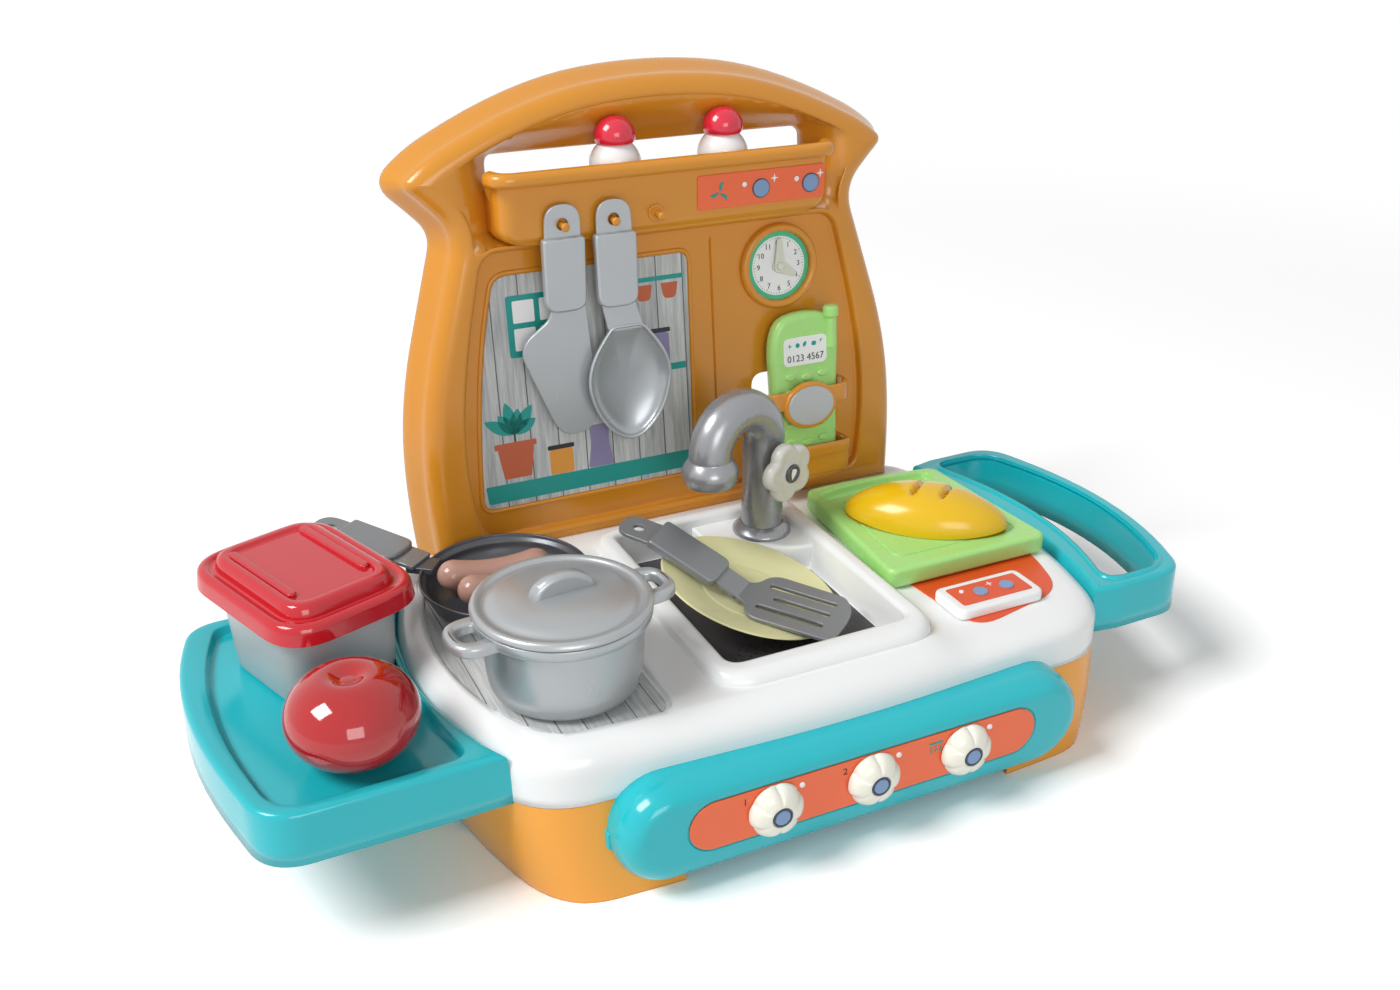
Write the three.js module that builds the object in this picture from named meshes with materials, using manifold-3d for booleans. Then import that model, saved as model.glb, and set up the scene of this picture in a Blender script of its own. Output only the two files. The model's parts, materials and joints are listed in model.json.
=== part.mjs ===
// Toy kitchen with its accessories. Millimetres, +Z up, +X to the right as seen from the front,
// -Y to the front.
// The origin is on the floor, under the middle of the whole play set.
import * as THREE from 'three';
import { mergeVertices } from 'three/addons/utils/BufferGeometryUtils.js';
import Module from 'manifold-3d';

const wasm = await Module();
wasm.setup();

// ---------------------------------------------------------------- driving dimensions

const CENTRE_SHIFT = [25.5, 12.5, 0];    // from the body's own middle to the middle of the whole set
const GAP = 0.3;                     // between two pieces that touch
const SKIN = 0.6;                    // thickness of a label or sticker

const PARTING = 58.4;                // height where the base meets the worktop
const TOP = 92;                      // worktop level
const RIGHT_TOP = 88;                // lower right part, where the scale and the board lie
const HOB_FLOOR = 89.6;
const SINK_RIM = 99.5;
const SINK_FLOOR = 76;
const WING_BOTTOM = 57.6;            // tray and carry handle
const WING_TOP = 88;

const PANEL_FOOT = [0, 87.8, 92];    // front face of the back panel where it stands on the worktop
const PANEL_LEAN = 5.9;              // degrees backwards
const INSET = 6.4;                   // depth of the panel's sunken field

const BEZEL_FACE = -159.5;           // front of the control bezel
const KNOB_PITCH = 60.8;
const KNOB_HEIGHT = 43;

const SHELF_FLOOR = 286;
const SHELF_TOP = 331;
const SHELF_FACE = 98;

const ORANGE = 0xf5a93b;
const TURQUOISE = 0x2fbbc4;
const WHITE = 0xf4f7f7;
const LABEL_RED = 0xec6d4c;
const IVORY = 0xf2f2e6;
const TAP_GREY = 0x77797c;
const POT_GREY = 0xaaadaf;
const STEEL_GREY = 0xaab0b2;
const GREEN = 0xa5dc78;
const RED = 0xd01e2a;

// ---------------------------------------------------------------- helpers

const degrees = THREE.MathUtils.degToRad;
const model = new THREE.Group();

function toSolid(geometry) {
  const bare = new THREE.BufferGeometry();
  bare.setAttribute('position', geometry.getAttribute('position'));
  bare.setIndex(geometry.index);
  const welded = mergeVertices(bare, 1e-4);
  const corners = welded.index.array;
  const triangles = [];
  for (let i = 0; i < corners.length; i += 3) {
    const [a, b, c] = corners.slice(i, i + 3);
    if (a !== b && b !== c && c !== a) triangles.push(a, b, c);
  }
  const vertProperties = Float32Array.from(welded.getAttribute('position').array);
  return new wasm.Manifold(new wasm.Mesh({
    numProp: 3, vertProperties, triVerts: Uint32Array.from(triangles),
  }));
}

function toGeometry(solid) {
  const mesh = solid.getMesh();
  const geometry = new THREE.BufferGeometry();
  geometry.setAttribute('position', new THREE.BufferAttribute(Float32Array.from(mesh.vertProperties), 3));
  geometry.setIndex(new THREE.BufferAttribute(Uint32Array.from(mesh.triVerts), 1));
  return geometry;
}

const join = (...pieces) => toGeometry(pieces.map(toSolid).reduce((all, next) => all.add(next)));
const common = (one, other) => toGeometry(toSolid(one).intersect(toSolid(other)));
const cut = (body, ...tools) => toGeometry(tools.map(toSolid).reduce(
  (left, tool) => left.subtract(tool), toSolid(body)
));

// A closed outline. Each corner is [x, y, reach]: its curve starts and ends that far from the corner,
// or less where two curves would meet on a short side.
function outline(corners) {
  const shape = new THREE.Shape();
  corners.forEach(([x, y, reach = 0], i) => {
    const corner = new THREE.Vector2(x, y);
    const [before, after] = [
      corners.at(i - 1), corners[(i + 1) % corners.length],
    ].map(([px, py, other = 0]) => {
      const side = new THREE.Vector2(px, py).sub(corner);
      const share = Math.min(1, (0.98 * side.length()) / (reach + other + 1e-6));
      return side.setLength(reach * share).add(corner);
    });
    if (i === 0) shape.moveTo(before.x, before.y);
    else shape.lineTo(before.x, before.y);
    if (reach > 0) shape.quadraticCurveTo(x, y, after.x, after.y);
  });
  return shape;
}

// Completes a right half, listed from the bottom up, with its mirror image.
function mirrored(half) {
  const left = half.filter(([x]) => x > 0).reverse().map(([x, y, reach]) => [-x, y, reach]);
  return [...half, ...left];
}

function roundedRect(width, depth, reach, x = 0, y = 0) {
  const [a, b] = [width / 2, depth / 2];
  return outline([
    [x - a, y - b, reach], [x + a, y - b, reach], [x + a, y + b, reach], [x - a, y + b, reach],
  ]);
}

function withHoles(shape, ...holes) {
  shape.holes.push(...holes);
  return shape;
}

function circle(radius, x = 0, y = 0) {
  return new THREE.Shape().absarc(x, y, radius, 0, 2 * Math.PI);
}

// A flat outline made into a body from bottom to top, with its edges rounded by the bevel.
function slab(shape, bottom, top, bevel = 0, curveSegments = 5) {
  const settings = { depth: top - bottom - 2 * bevel, curveSegments, bevelEnabled: bevel > 0,
    bevelSize: bevel, bevelThickness: bevel, bevelOffset: -bevel, bevelSegments: 2 };
  return new THREE.ExtrudeGeometry(shape, settings).translate(0, 0, bottom + bevel);
}

// The same, standing up: the outline's y becomes z, and the body runs from front to back.
const upright = (shape, front, back, bevel = 0, segments = 5) => slab(
  shape, -back, -front, bevel, segments
).rotateX(Math.PI / 2);

const block = (x0, x1, y0, y1, z0, z1) =>
  new THREE.BoxGeometry(x1 - x0, y1 - y0, z1 - z0).translate((x0 + x1) / 2, (y0 + y1) / 2, (z0 + z1) / 2);

// A slab with a rounded top edge and a square bottom edge.
function domed(shape, bottom, top, bevel, segments = 5) {
  return cut(
    slab(shape, bottom - bevel, top, bevel, segments),
    block(-500, 500, -500, 500, bottom - bevel - 1, bottom)
  );
}

// A turned piece about +Z. Its profile runs from the axis at the bottom round the outside and back to
// the axis.
function turned(profile, segments = 24) {
  const points = profile.map(([radius, height]) => new THREE.Vector2(radius, height));
  return new THREE.LatheGeometry(points, segments).rotateX(Math.PI / 2);
}

function reshape(geometry, move) {
  const position = geometry.getAttribute('position');
  for (let i = 0; i < position.count; i += 1) {
    const [x, y, z] = move(position.getX(i), position.getY(i), position.getZ(i));
    position.setXYZ(i, x, y, z);
  }
  return geometry;
}

function add(
  name, geometry, color,
  { at = [0, 0, 0], turn = [0, 0, 0], roughness = 0.3, metalness = 0, parent = model } = {}
) {
  const mesh = new THREE.Mesh(geometry, new THREE.MeshStandardMaterial({ color, roughness, metalness }));
  mesh.name = name;
  mesh.position.set(...at);
  mesh.rotation.set(...turn.map(degrees));
  parent.add(mesh);
  return mesh;
}

function group(at, turn = [0, 0, 0], parent = model) {
  const frame = new THREE.Group();
  frame.position.set(...at);
  frame.rotation.set(...turn.map(degrees));
  parent.add(frame);
  return frame;
}

// ---------------------------------------------------------------- body: base and worktop

// Plan of the body, moved outwards by grow. The left side bulges a little more than the right.
function bodyPlan(grow = 0) {
  return outline([
    [-186 - grow, 120 + grow, 20], [-228 - grow, -18, 78], [-185 - grow, -132 - grow, 34],
    [0, -142 - grow, 90],
    [185 + grow, -132 - grow, 34], [216 + grow, -18, 78], [186 + grow, 120 + grow, 20],
  ]);
}

// The base is narrower at its foot, and its front comes forward there.
function baseLean(geometry) {
  return reshape(geometry, (x, y, z) => {
    const down = 1 - z / PARTING;
    const forward = THREE.MathUtils.clamp((-60 - y) / 70, 0, 1);
    return [x * (1 - 0.05 * down * down), y - 10 * down * forward, z];
  });
}

function baseBlock(grow) {
  const settings = { depth: PARTING, steps: 4, curveSegments: 5, bevelEnabled: false };
  return baseLean(new THREE.ExtrudeGeometry(bodyPlan(grow), settings));
}

function baseTub() {
  const wall = 3;
  const inside = baseBlock(-wall).scale(1, 1, 0.85).translate(0, 0, 12);
  const archFront = block(-111.4, 111.4, -180, 140, -1, 9);
  const archSide = block(-260, 260, -40, 60, -1, 9);
  const vent = block(-20, 20, 100, 140, 28, 40);
  return cut(baseBlock(0), inside, archFront, archSide, vent);
}

add('base_tub', baseTub(), ORANGE);

const SINK = { halfWidth: 58.5, front: -101, back: 66, wall: 11.5 };

const TAP_PLACE = [38, 44];

// The flat ledge at the back right of the sink, where the tap stands.
const tapDeckPlan = () => outline([
  [-2, 74], [-2, 50, 6], [25.5, 28, 14], [45, 12.5, 10], [66, 11], [66, 74],
]);

function worktop() {
  const wall = 3;
  const sinkY = (SINK.front + SINK.back) / 2;
  const sinkDepth = SINK.back - SINK.front;
  const sinkPlan = (grow, reach) => roundedRect(
    2 * (SINK.halfWidth + grow), sinkDepth + 2 * grow, reach, 0, sinkY
  );
  const hobPlan = outline([
    [-98.6, -119, 14], [-163, -119, 22], [-209, -42, 66], [-185, 82, 16], [-98.6, 82, 10],
  ]);
  const shell = cut(domed(bodyPlan(), PARTING + GAP, TOP, 14), block(72, 240, -150, 86, RIGHT_TOP, 110));
  const outside = join(shell, domed(sinkPlan(SINK.wall, 26), TOP - 20, SINK_RIM, 5));
  const basin = cut(slab(sinkPlan(0, 8), SINK_FLOOR, 110), slab(tapDeckPlan(), SINK_FLOOR - 1, TOP));
  const below = slab(bodyPlan(-wall), 40, SINK_FLOOR - wall);
  const underHob = block(-180, -74, -112, 84, 60, HOB_FLOOR - wall);
  const underBoard = block(74, 180, -112, 84, 60, RIGHT_TOP - wall);
  return cut(outside, basin, slab(hobPlan, HOB_FLOOR, 110), below, underHob, underBoard);
}

add('worktop', worktop(), WHITE, { roughness: 0.22 });

const hobStickerPlan = () => outline([
  [-101, -116.5, 12], [-161, -116.5, 20], [-205.5, -42, 64], [-182.5, 79.5, 14], [-101, 79.5, 8],
]);
add(
  'hob_sticker', slab(hobStickerPlan(), HOB_FLOOR + GAP, HOB_FLOOR + GAP + SKIN), 0xd6d8d6,
  { roughness: 0.5 }
);

const sinkStickerPlan = () => outline([
  [-55, -97.5, 8], [55, -97.5, 8], [55, 8, 4], [22, 18, 12], [-6, 44, 6], [-6, 62, 4], [-55, 62, 8],
]);
add(
  'sink_sticker', slab(sinkStickerPlan(), SINK_FLOOR + GAP, SINK_FLOOR + GAP + SKIN), 0x4b494d,
  { roughness: 0.5 }
);

const SCALE_TOP = RIGHT_TOP + GAP + SKIN;
const scalePlan = () => outline([
  [86, 20, 4], [92, -64, 14], [99, -119, 18], [172, -101, 20], [182, -60, 16], [184, 20, 4],
]);
add('scale_sticker', slab(scalePlan(), RIGHT_TOP + GAP, SCALE_TOP), 0xcd5028, { roughness: 0.5 });

const SCALE_PANEL = { x: 122.8, y: -91, width: 61.5, depth: 30.5, height: 6 };
add('scale_panel', domed(
  roundedRect(SCALE_PANEL.width, SCALE_PANEL.depth, 6), 0, SCALE_PANEL.height, 1.6
), WHITE,
  { at: [SCALE_PANEL.x, SCALE_PANEL.y, SCALE_TOP + GAP], roughness: 0.22 });
add('scale_label', slab(roundedRect(50, 20, 2.5), 0, SKIN), 0xf05a28,
  { at: [SCALE_PANEL.x, SCALE_PANEL.y, SCALE_TOP + GAP + SCALE_PANEL.height + GAP], roughness: 0.5 });

// ---------------------------------------------------------------- control bezel and knobs

const stadium = (halfLength, halfHeight) => {
  const bar = new THREE.Shape();
  bar.absarc(halfLength - halfHeight, 0, halfHeight, -Math.PI / 2, Math.PI / 2);
  bar.absarc(halfHeight - halfLength, 0, halfHeight, Math.PI / 2, 1.5 * Math.PI);
  return bar;
};

const KNOB_PLACES = [-1, 0, 1].map((step) => [
  step * KNOB_PITCH, BEZEL_FACE - GAP - SKIN - GAP, KNOB_HEIGHT,
]);
const shaftHole = ([x]) => new THREE.CylinderGeometry(4.4, 4.4, 60, 20).translate(x, -150, 0);

function controlBezel() {
  const middle = 39.5;
  const shell = upright(stadium(147, 31), BEZEL_FACE, -110, 9, 8).translate(0, 0, middle);
  const hollow = upright(stadium(143, 27), BEZEL_FACE + 3, -100, 6, 8).translate(0, 0, middle);
  const body = join(baseBlock(GAP), slab(bodyPlan(GAP), PARTING - 1, TOP + 20));
  const holes = KNOB_PLACES.map((place) => shaftHole(place).translate(0, 0, KNOB_HEIGHT));
  return cut(shell, hollow, body, ...holes);
}

add('control_bezel', controlBezel(), TURQUOISE);

const labelPlan = withHoles(stadium(110, 15), ...KNOB_PLACES.map(([x]) => circle(4.8, x, 0)));
add(
  'control_label', upright(labelPlan, -SKIN, 0, 0, 10), LABEL_RED,
  { at: [0, BEZEL_FACE - GAP, KNOB_HEIGHT], roughness: 0.5 }
);

// A knob turns about its own +Z, which points to the front. Its shaft runs back through the bezel.
const knobBody = () => turned([
  [0, -8.6], [4, -8.6], [4, 0], [14.2, 0], [14.8, 1.4], [14, 4.4], [11.4, 7.4], [7.4, 9.4], [5.4, 9.8],
  [5.4, 8.4], [0, 8.4],
]);
const knobCap = () => turned([[0, 0], [5, 0], [5, 1.1], [4.4, 1.5], [0, 1.6]], 16);
const knobClip = () => upright(withHoles(circle(8), circle(4.5)), 0, 2);

KNOB_PLACES.forEach((place, i) => {
  const [x, y, z] = place;
  const facing = group(place, [90, 0, 0]);
  add(`knob_${i + 1}`, knobBody(), IVORY, { parent: facing });
  add(`knob_cap_${i + 1}`, knobCap(), 0x6e8cb9, { at: [0, 0, 8.4 + GAP], parent: facing });
  add(`knob_clip_${i + 1}`, knobClip(), 0x8a8d90, { at: [x, BEZEL_FACE + 3 + GAP, z], metalness: 0.6 });
});

// ---------------------------------------------------------------- wings: serving tray and carry handle

const bodyClearance = () => join(slab(bodyPlan(GAP), PARTING - 4, TOP + 20), baseBlock(GAP));

function servingTray() {
  const plan = outline([[-150, -114, 0], [-313, -115, 18], [-343, 8, 88], [-321, 88, 18], [-150, 88, 0]]);
  const recess = outline([
    [-206, -105, 8], [-304, -108, 18], [-330, 4, 84], [-308, 77, 10], [-206, 77, 8], [-228, -18, 78],
  ]);
  const under = outline([
    [-150, -111.5, 0], [-310, -111.5, 15], [-339, 8, 84], [-318, 84.5, 15], [-150, 84.5, 0],
  ]);
  const edge = 4;
  const body = domed(plan, WING_BOTTOM, WING_TOP, edge);
  return cut(body, slab(recess, 82.4, 100), slab(under, 50, 79.4), bodyClearance());
}

add('serving_tray', servingTray(), TURQUOISE);

function carryHandle() {
  const plan = outline([[150, -114, 0], [258, -112, 18], [296, -18, 92], [264, 99, 24], [150, 99, 0]]);
  const hand = outline([
    [203, -102, 10], [249, -102, 16], [284, -8, 84], [248, 85, 14], [204, 85, 10], [235, -14, 84],
  ]);
  return cut(domed(plan, WING_BOTTOM, WING_TOP, 4), slab(hand, 40, 100), bodyClearance());
}

add('carry_handle', carryHandle(), TURQUOISE);

// ---------------------------------------------------------------- back panel

const panelFrame = group(PANEL_FOOT, [-PANEL_LEAN, 0, 0]);

// Outline of the panel in its own plane, x across and y up, moved outwards by grow.
const panelPlan = (grow) => outline(mirrored([
  [167 + grow, -6], [170 + grow, 40, 30], [167 + grow, 100, 40], [135 + grow, 205, 12],
  [155 + grow, 226, 8],
  [164 + grow, 234, 7], [150 + grow, 247, 14], [85 + grow, 280 + grow, 70], [0, 289 + grow, 60],
]));
const fieldPlan = (grow) => outline(mirrored([
  [137 + grow, 9 - grow, 11], [146 + grow, 60, 40], [136 + grow, 130, 30], [121 + grow, 191 + grow, 12],
  [0, 191 + grow, 0],
]));

const PANEL_DEPTH = 28;
const PANEL_FLARE = 8;
const PHONE_HOLE = roundedRect(64, 50, 9, 92, 62);
const SHELF_HOLE = roundedRect(225, 51.6, 12, 0, 220.4);

// The panel grows wider behind its rounded front edge.
function panelBlock(grow, front, back) {
  const settings = { depth: PANEL_DEPTH, steps: 5, curveSegments: 4, bevelEnabled: false };
  const body = new THREE.ExtrudeGeometry(panelPlan(PANEL_FLARE + grow), settings);
  reshape(body, (x, y, z) => {
    const behind = Math.min(1, (PANEL_DEPTH - z) / 11.2);
    const shrink = PANEL_FLARE * (1 - Math.sqrt(1 - (1 - behind) ** 2));
    return [x * (1 - shrink / 177), y * (1 - shrink / 300), (z * (back - front)) / PANEL_DEPTH - back];
  });
  return body.rotateX(Math.PI / 2);
}

// Above the shelf the panel's front slopes back behind the shakers. This is the space it leaves, moved
// outwards by grow.
function scoop(grow) {
  const face = upright(
    outline(mirrored([
      [112 + grow, 236, 0], [112 + grow, 250 + grow, 8], [72, 271 + grow, 40], [0, 275 + grow, 30],
    ])),
    -5, 60
  );
  const profile = outline([
    [-5, 230], [-5, 275 + grow], [grow, 275 + grow], [12 + grow, 268 + grow], [20 + grow, 256],
    [24 + grow, 246], [24 + grow, 230],
  ]);
  const side = new THREE.ExtrudeGeometry(
    profile, { depth: 300, bevelEnabled: false }
  ).translate(0, 0, -150);
  // Turned so that the profile's x runs to the back and its y upwards.
  return common(face, side.rotateX(Math.PI / 2).rotateZ(Math.PI / 2));
}

function backPanel() {
  const outside = panelBlock(0, 0, PANEL_DEPTH);
  const hollow = panelBlock(-3, 3, PANEL_DEPTH + 5);
  const sunkWall = upright(fieldPlan(3), 1, INSET + 3);
  const field = upright(fieldPlan(0), -5, INSET);
  const holes = [upright(PHONE_HOLE, -5, 60), upright(SHELF_HOLE, -5, 60)];
  const floorLevel = block(-300, 300, -80, 120, -60, GAP).rotateX(degrees(PANEL_LEAN));
  const scoopWall = cut(
    scoop(3), block(-300, 300, -10, 0.5, 200, 300), block(-300, 300, -10, 60, 200, 246)
  );
  return cut(join(cut(outside, hollow), sunkWall, scoopWall), field, scoop(0), ...holes, floorLevel);
}

add('back_panel', backPanel(), ORANGE, { parent: panelFrame });

// A place on the sunken field: x across, world height, and how far it stands out from the field.
const onField = (x, height, out) => [
  x, INSET - out, (height - PANEL_FOOT[2]) / Math.cos(degrees(PANEL_LEAN)),
];

const windowPlan = () => outline([
  [-134, 27.6, 6], [-133, 90, 40], [-115, 176, 6], [15.4, 176, 4], [13.2, 27.6, 4],
]);
add(
  'window_sticker', upright(windowPlan(), INSET - GAP - SKIN, INSET - GAP), 0xd2d4d3,
  { parent: panelFrame, roughness: 0.45 }
);

// ---------------------------------------------------------------- clock

const clockFrame = group(onField(82, 250, GAP), [90, 0, 0], panelFrame);
add(
  'clock_ring', turned([[23.2, 0], [28.6, 0], [28.6, 3], [26.4, 4.6], [23.2, 3.6], [23.2, 0]], 36), ORANGE,
  { parent: clockFrame }
);
add(
  'clock_face', slab(withHoles(circle(22.8), circle(1.6)), 0, SKIN, 0, 12), 0xe8eaee,
  { parent: clockFrame, roughness: 0.45 }
);

const handPlan = (length, width) => withHoles(
  outline([[-width / 2, -5, 4], [width / 2, -5, 4], [2.2, length, 2], [-2.2, length, 2]]), circle(1.9)
);
const HAND_STEP = 1.5;
const hourHand = group([0, 0, SKIN + GAP], [0, 0, -120], clockFrame);
add('hour_hand', slab(handPlan(14.5, 10), 0, HAND_STEP - GAP), 0xdde0d2, { parent: hourHand });
add(
  'minute_hand', slab(handPlan(18.5, 9), HAND_STEP, 2 * HAND_STEP - GAP), 0xdde0d2,
  { at: [0, 0, SKIN + GAP], parent: clockFrame }
);
add(
  'clock_pin', turned([[0, GAP], [1.3, GAP], [1.3, 4], [2.6, 4.1], [2.2, 5], [0, 5.2]], 16), 0xdde0d2,
  { parent: clockFrame }
);

// ---------------------------------------------------------------- shelf with its label and hooks

function shelf() {
  const wall = 2.5;
  const back = 136;
  const plan = (grow) => outline([
    [-110 + grow, back - grow], [-110 + grow, SHELF_FACE + grow, 14], [110 - grow, SHELF_FACE + grow, 14],
    [110 - grow, back - grow],
  ]);
  const rim = outline([[-117, 111], [-115, 94, 11], [117, 94, 11], [119, 111]]);
  const face = (grow) => upright(outline([
    [
      -110 + grow, SHELF_FLOOR + grow, 14,
    ], [110 - grow, SHELF_FLOOR + grow, 14], [110 - grow, 345], [-110 + grow, 345]]), 90, 150);
  const tub = (grow, top) => common(slab(plan(grow), SHELF_FLOOR, top), face(grow));
  const outside = join(tub(0, SHELF_TOP), slab(rim, SHELF_TOP - 9, SHELF_TOP, 2));
  const lowBack = block(-200, 200, 112, 150, 316, 340);
  const lowEnds = block(-200, 200, 118, 150, 325, 340);
  return cut(outside, tub(wall, 340), lowBack, lowEnds);
}

add('shelf', shelf(), ORANGE);
add(
  'hood_sticker', upright(roundedRect(92, 21, 2, 62, 306.5), SHELF_FACE - GAP - SKIN, SHELF_FACE - GAP),
  LABEL_RED, { roughness: 0.5 }
);

const HOOK_HEIGHT = 298;
const HOOKS = [-74.5, -42, -11.7];
const hookBody = () => turned(
  [[0, 0], [5.2, 0], [5.2, 0.6], [2, 1], [2, 8.6], [2.7, 9], [2.7, 10], [2, 10.6], [0, 10.6]], 12
);
HOOKS.forEach((x, i) => {
  add(`hook_${i + 1}`, hookBody(), ORANGE, { at: [x, SHELF_FACE - GAP, HOOK_HEIGHT], turn: [90, 0, 0] });
});

// ---------------------------------------------------------------- phone and its holder

const phoneFrame = group(onField(93.5, 102, 0), [0, 0, 0], panelFrame);

function phoneHolder() {
  const pocket = cut(
    upright(outline([[-33, 0, 10], [33, 0, 10], [33, 25, 5], [-33, 25, 5]]), -19, -GAP, 2),
    upright(outline([[-29.5, 3, 8], [29.5, 3, 8], [29.5, 40], [-29.5, 40]]), -16, -2),
  );
  const strap = cut(
    upright(roundedRect(70, 13, 3, -1, 60), -22, -GAP, 1),
    upright(roundedRect(61, 30, 0, -1, 60), -18.4, 4),
  );
  const badge = new THREE.CylinderGeometry(20, 20, 3, 32).scale(1, 1, 0.78).translate(-1, -20.4, 55.5);
  const posts = [block(-36, -32, -3, -GAP, 10, 60), block(30, 34, -3, -GAP, 10, 60)];
  return join(pocket, strap, badge, ...posts);
}

add('phone_holder', phoneHolder(), ORANGE, { parent: phoneFrame });
add('holder_badge', new THREE.CylinderGeometry(17, 17, SKIN, 32).scale(1, 1, 0.78), 0xc9cbcd,
  { at: [-1, -21.9 - GAP - SKIN / 2, 55.5], parent: phoneFrame, roughness: 0.45 });

// Thin enough to slide up in front of the clock.
const PHONE_DEPTH = 9.5;
function phoneBody() {
  const shape = outline([
    [-24, 0, 9], [24, 0, 9], [25, 60, 10], [27, 108, 34], [0, 113, 24], [-27, 108, 34], [-25, 60, 10],
  ]);
  const aerial = new THREE.CylinderGeometry(4.6, 4.6, 26, 14).rotateX(Math.PI / 2).translate(19, 4.9, 106);
  return join(upright(shape, 0, PHONE_DEPTH, 2.5), aerial);
}

const phone = group([0, -15.4, 5], [0, 0, 0], phoneFrame);
add('phone', phoneBody(), GREEN, { parent: phone });
add(
  'phone_screen', upright(roundedRect(33, 19, 3), -SKIN, 0), 0xf6f8f8,
  { at: [0, -GAP, 88], parent: phone, roughness: 0.4 }
);

// ---------------------------------------------------------------- tap

const TAP = { x: TAP_PLACE[0], y: TAP_PLACE[1], reach: 47.5, columnTop: 160, radius: 13.6, heading: 198 };
const tapFrame = group([TAP.x, TAP.y, TOP + GAP], [0, 0, TAP.heading]);

add(
  'tap_flange', turned([[14, 0], [19.3, 0], [19.3, 2.6], [16.6, 6], [14, 7], [14, 0]], 36), TAP_GREY,
  { at: [TAP.x, TAP.y, TOP + GAP] }
);

// Seen in its own frame the spout reaches along +X, and the flower handle stands out to +Y.
function tapBody() {
  const rise = TAP.columnTop - TOP;
  const bend = TAP.reach / 2;
  const arc = new THREE.CatmullRomCurve3([...Array(9).keys()].map((k) => {
    const angle = (k / 8) * Math.PI;
    return new THREE.Vector3(bend - bend * Math.cos(angle), 0, rise + bend * Math.sin(angle));
  }));
  const swept = { steps: 16, curveSegments: 10, bevelEnabled: false, extrudePath: arc };
  const neck = new THREE.ExtrudeGeometry(circle(TAP.radius), swept);
  const column = new THREE.CylinderGeometry(TAP.radius, TAP.radius, rise + 1, 20)
    .rotateX(Math.PI / 2).translate(0, 0, (rise + 1) / 2 + 0.3);
  const mouth = turned(
    [[0, 50], [15.5, 50], [17.6, 53], [17.8, 60], [15.6, 65], [14.4, rise + 1], [0, rise + 1]], 20
  ).translate(TAP.reach, 0, 0);
  const bore = new THREE.CylinderGeometry(11, 11, 24, 20).rotateX(Math.PI / 2).translate(TAP.reach, 0, 54);
  const boss = new THREE.CylinderGeometry(7, 7, 12, 20).translate(0, 11.6, 49);
  return cut(join(neck, column, mouth, boss), bore);
}

const tap = group([TAP.x, TAP.y, TOP], [0, 0, TAP.heading]);
add('tap_body', tapBody(), TAP_GREY, { parent: tap });

const FLOWER = { out: 18, height: 49.8, lobes: 5, radius: 17.2, lobe: 3 };
function flowerPlan() {
  const points = [...Array(48).keys()].map((k) => {
    const angle = (k / 48) * 2 * Math.PI;
    const radius = FLOWER.radius + FLOWER.lobe * Math.cos(FLOWER.lobes * angle);
    return new THREE.Vector2(radius * Math.cos(angle), radius * Math.sin(angle));
  });
  return new THREE.Shape(points);
}
const flowerFrame = group([0, FLOWER.out, FLOWER.height], [-90, 0, 0], tap);
add('tap_handle', slab(flowerPlan(), 0, 8, 2), 0xc8c8c3, { parent: flowerFrame });
add(
  'tap_handle_cap', turned([[0, 0], [6.2, 0], [6.2, 0.8], [5.4, 1.4], [0, 1.6]], 24), 0x4a4a4c,
  { at: [0, 0, 8 + GAP], parent: flowerFrame }
);

// ---------------------------------------------------------------- pot and pan on the hob

const HOB_TOP = HOB_FLOOR + GAP + SKIN + GAP;

const POT = { x: -142.5, y: -69.5, height: 50, turn: 6 };
const potFrame = group([POT.x, POT.y, HOB_TOP], [0, 0, POT.turn]);

function potBody() {
  const outer = turned([
    [0, 0], [33, 0], [39, 2.4], [41.8, 8], [42.8, 16], [44, POT.height - 7], [47.5, POT.height - 6],
    [48.5, POT.height - 3], [48, POT.height], [0, POT.height],
  ], 32);
  const inner = turned(
    [[0, 2.4], [32, 2.4], [37.4, 5], [40, 16], [41.6, POT.height + 5], [0, POT.height + 5]], 32
  );
  const loop = () => slab(withHoles(
    outline([[35, -16.5, 0], [65.5, -16.5, 15], [65.5, 16.5, 15], [35, 16.5, 0]]),
    outline([
      [46, -8, 5], [60, -8, 7.5], [60, 8, 7.5], [46, 8, 5],
    ])), POT.height - 7, POT.height - 0.5, 1.5);
  return cut(join(outer, loop(), loop().rotateZ(Math.PI)), inner);
}

add('pot', potBody(), POT_GREY, { parent: potFrame, metalness: 0.35 });

function potLid() {
  const dish = turned(
    [
      [0, 1.6], [36, 0], [44, 0], [48.6, 0], [49, 2.4], [46.5, 4.4], [43.5, 3.6], [40, 3.4], [20, 6],
      [0, 7],
    ],
    32
  );
  const fin = upright(new THREE.Shape().absellipse(0, 5, 16, 12, 0, Math.PI), -4, 4, 1.5);
  return join(dish, fin);
}

add('pot_lid', potLid(), POT_GREY, { at: [0, 0, POT.height + GAP], parent: potFrame, metalness: 0.35 });

const PAN = { x: -142.5, y: 33.4, height: 17.5 };
const panFrame = group([PAN.x, PAN.y, HOB_TOP]);
const panDish = () => turned([
  [0, 0], [41, 0], [44, 2], [51.4, PAN.height - 1], [50.8, PAN.height], [49.8, PAN.height - 1], [42.4, 3.4],
  [40, 2], [0, 2],
], 36);
// A lug on the rim carries the handle.
const panBody = () => join(panDish(), block(-8, 8, 50, 62, 12.5, 16.5).rotateZ(degrees(52.9)));
add('pan', panBody(), 0x3c3c41, { parent: panFrame, metalness: 0.2 });

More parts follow.
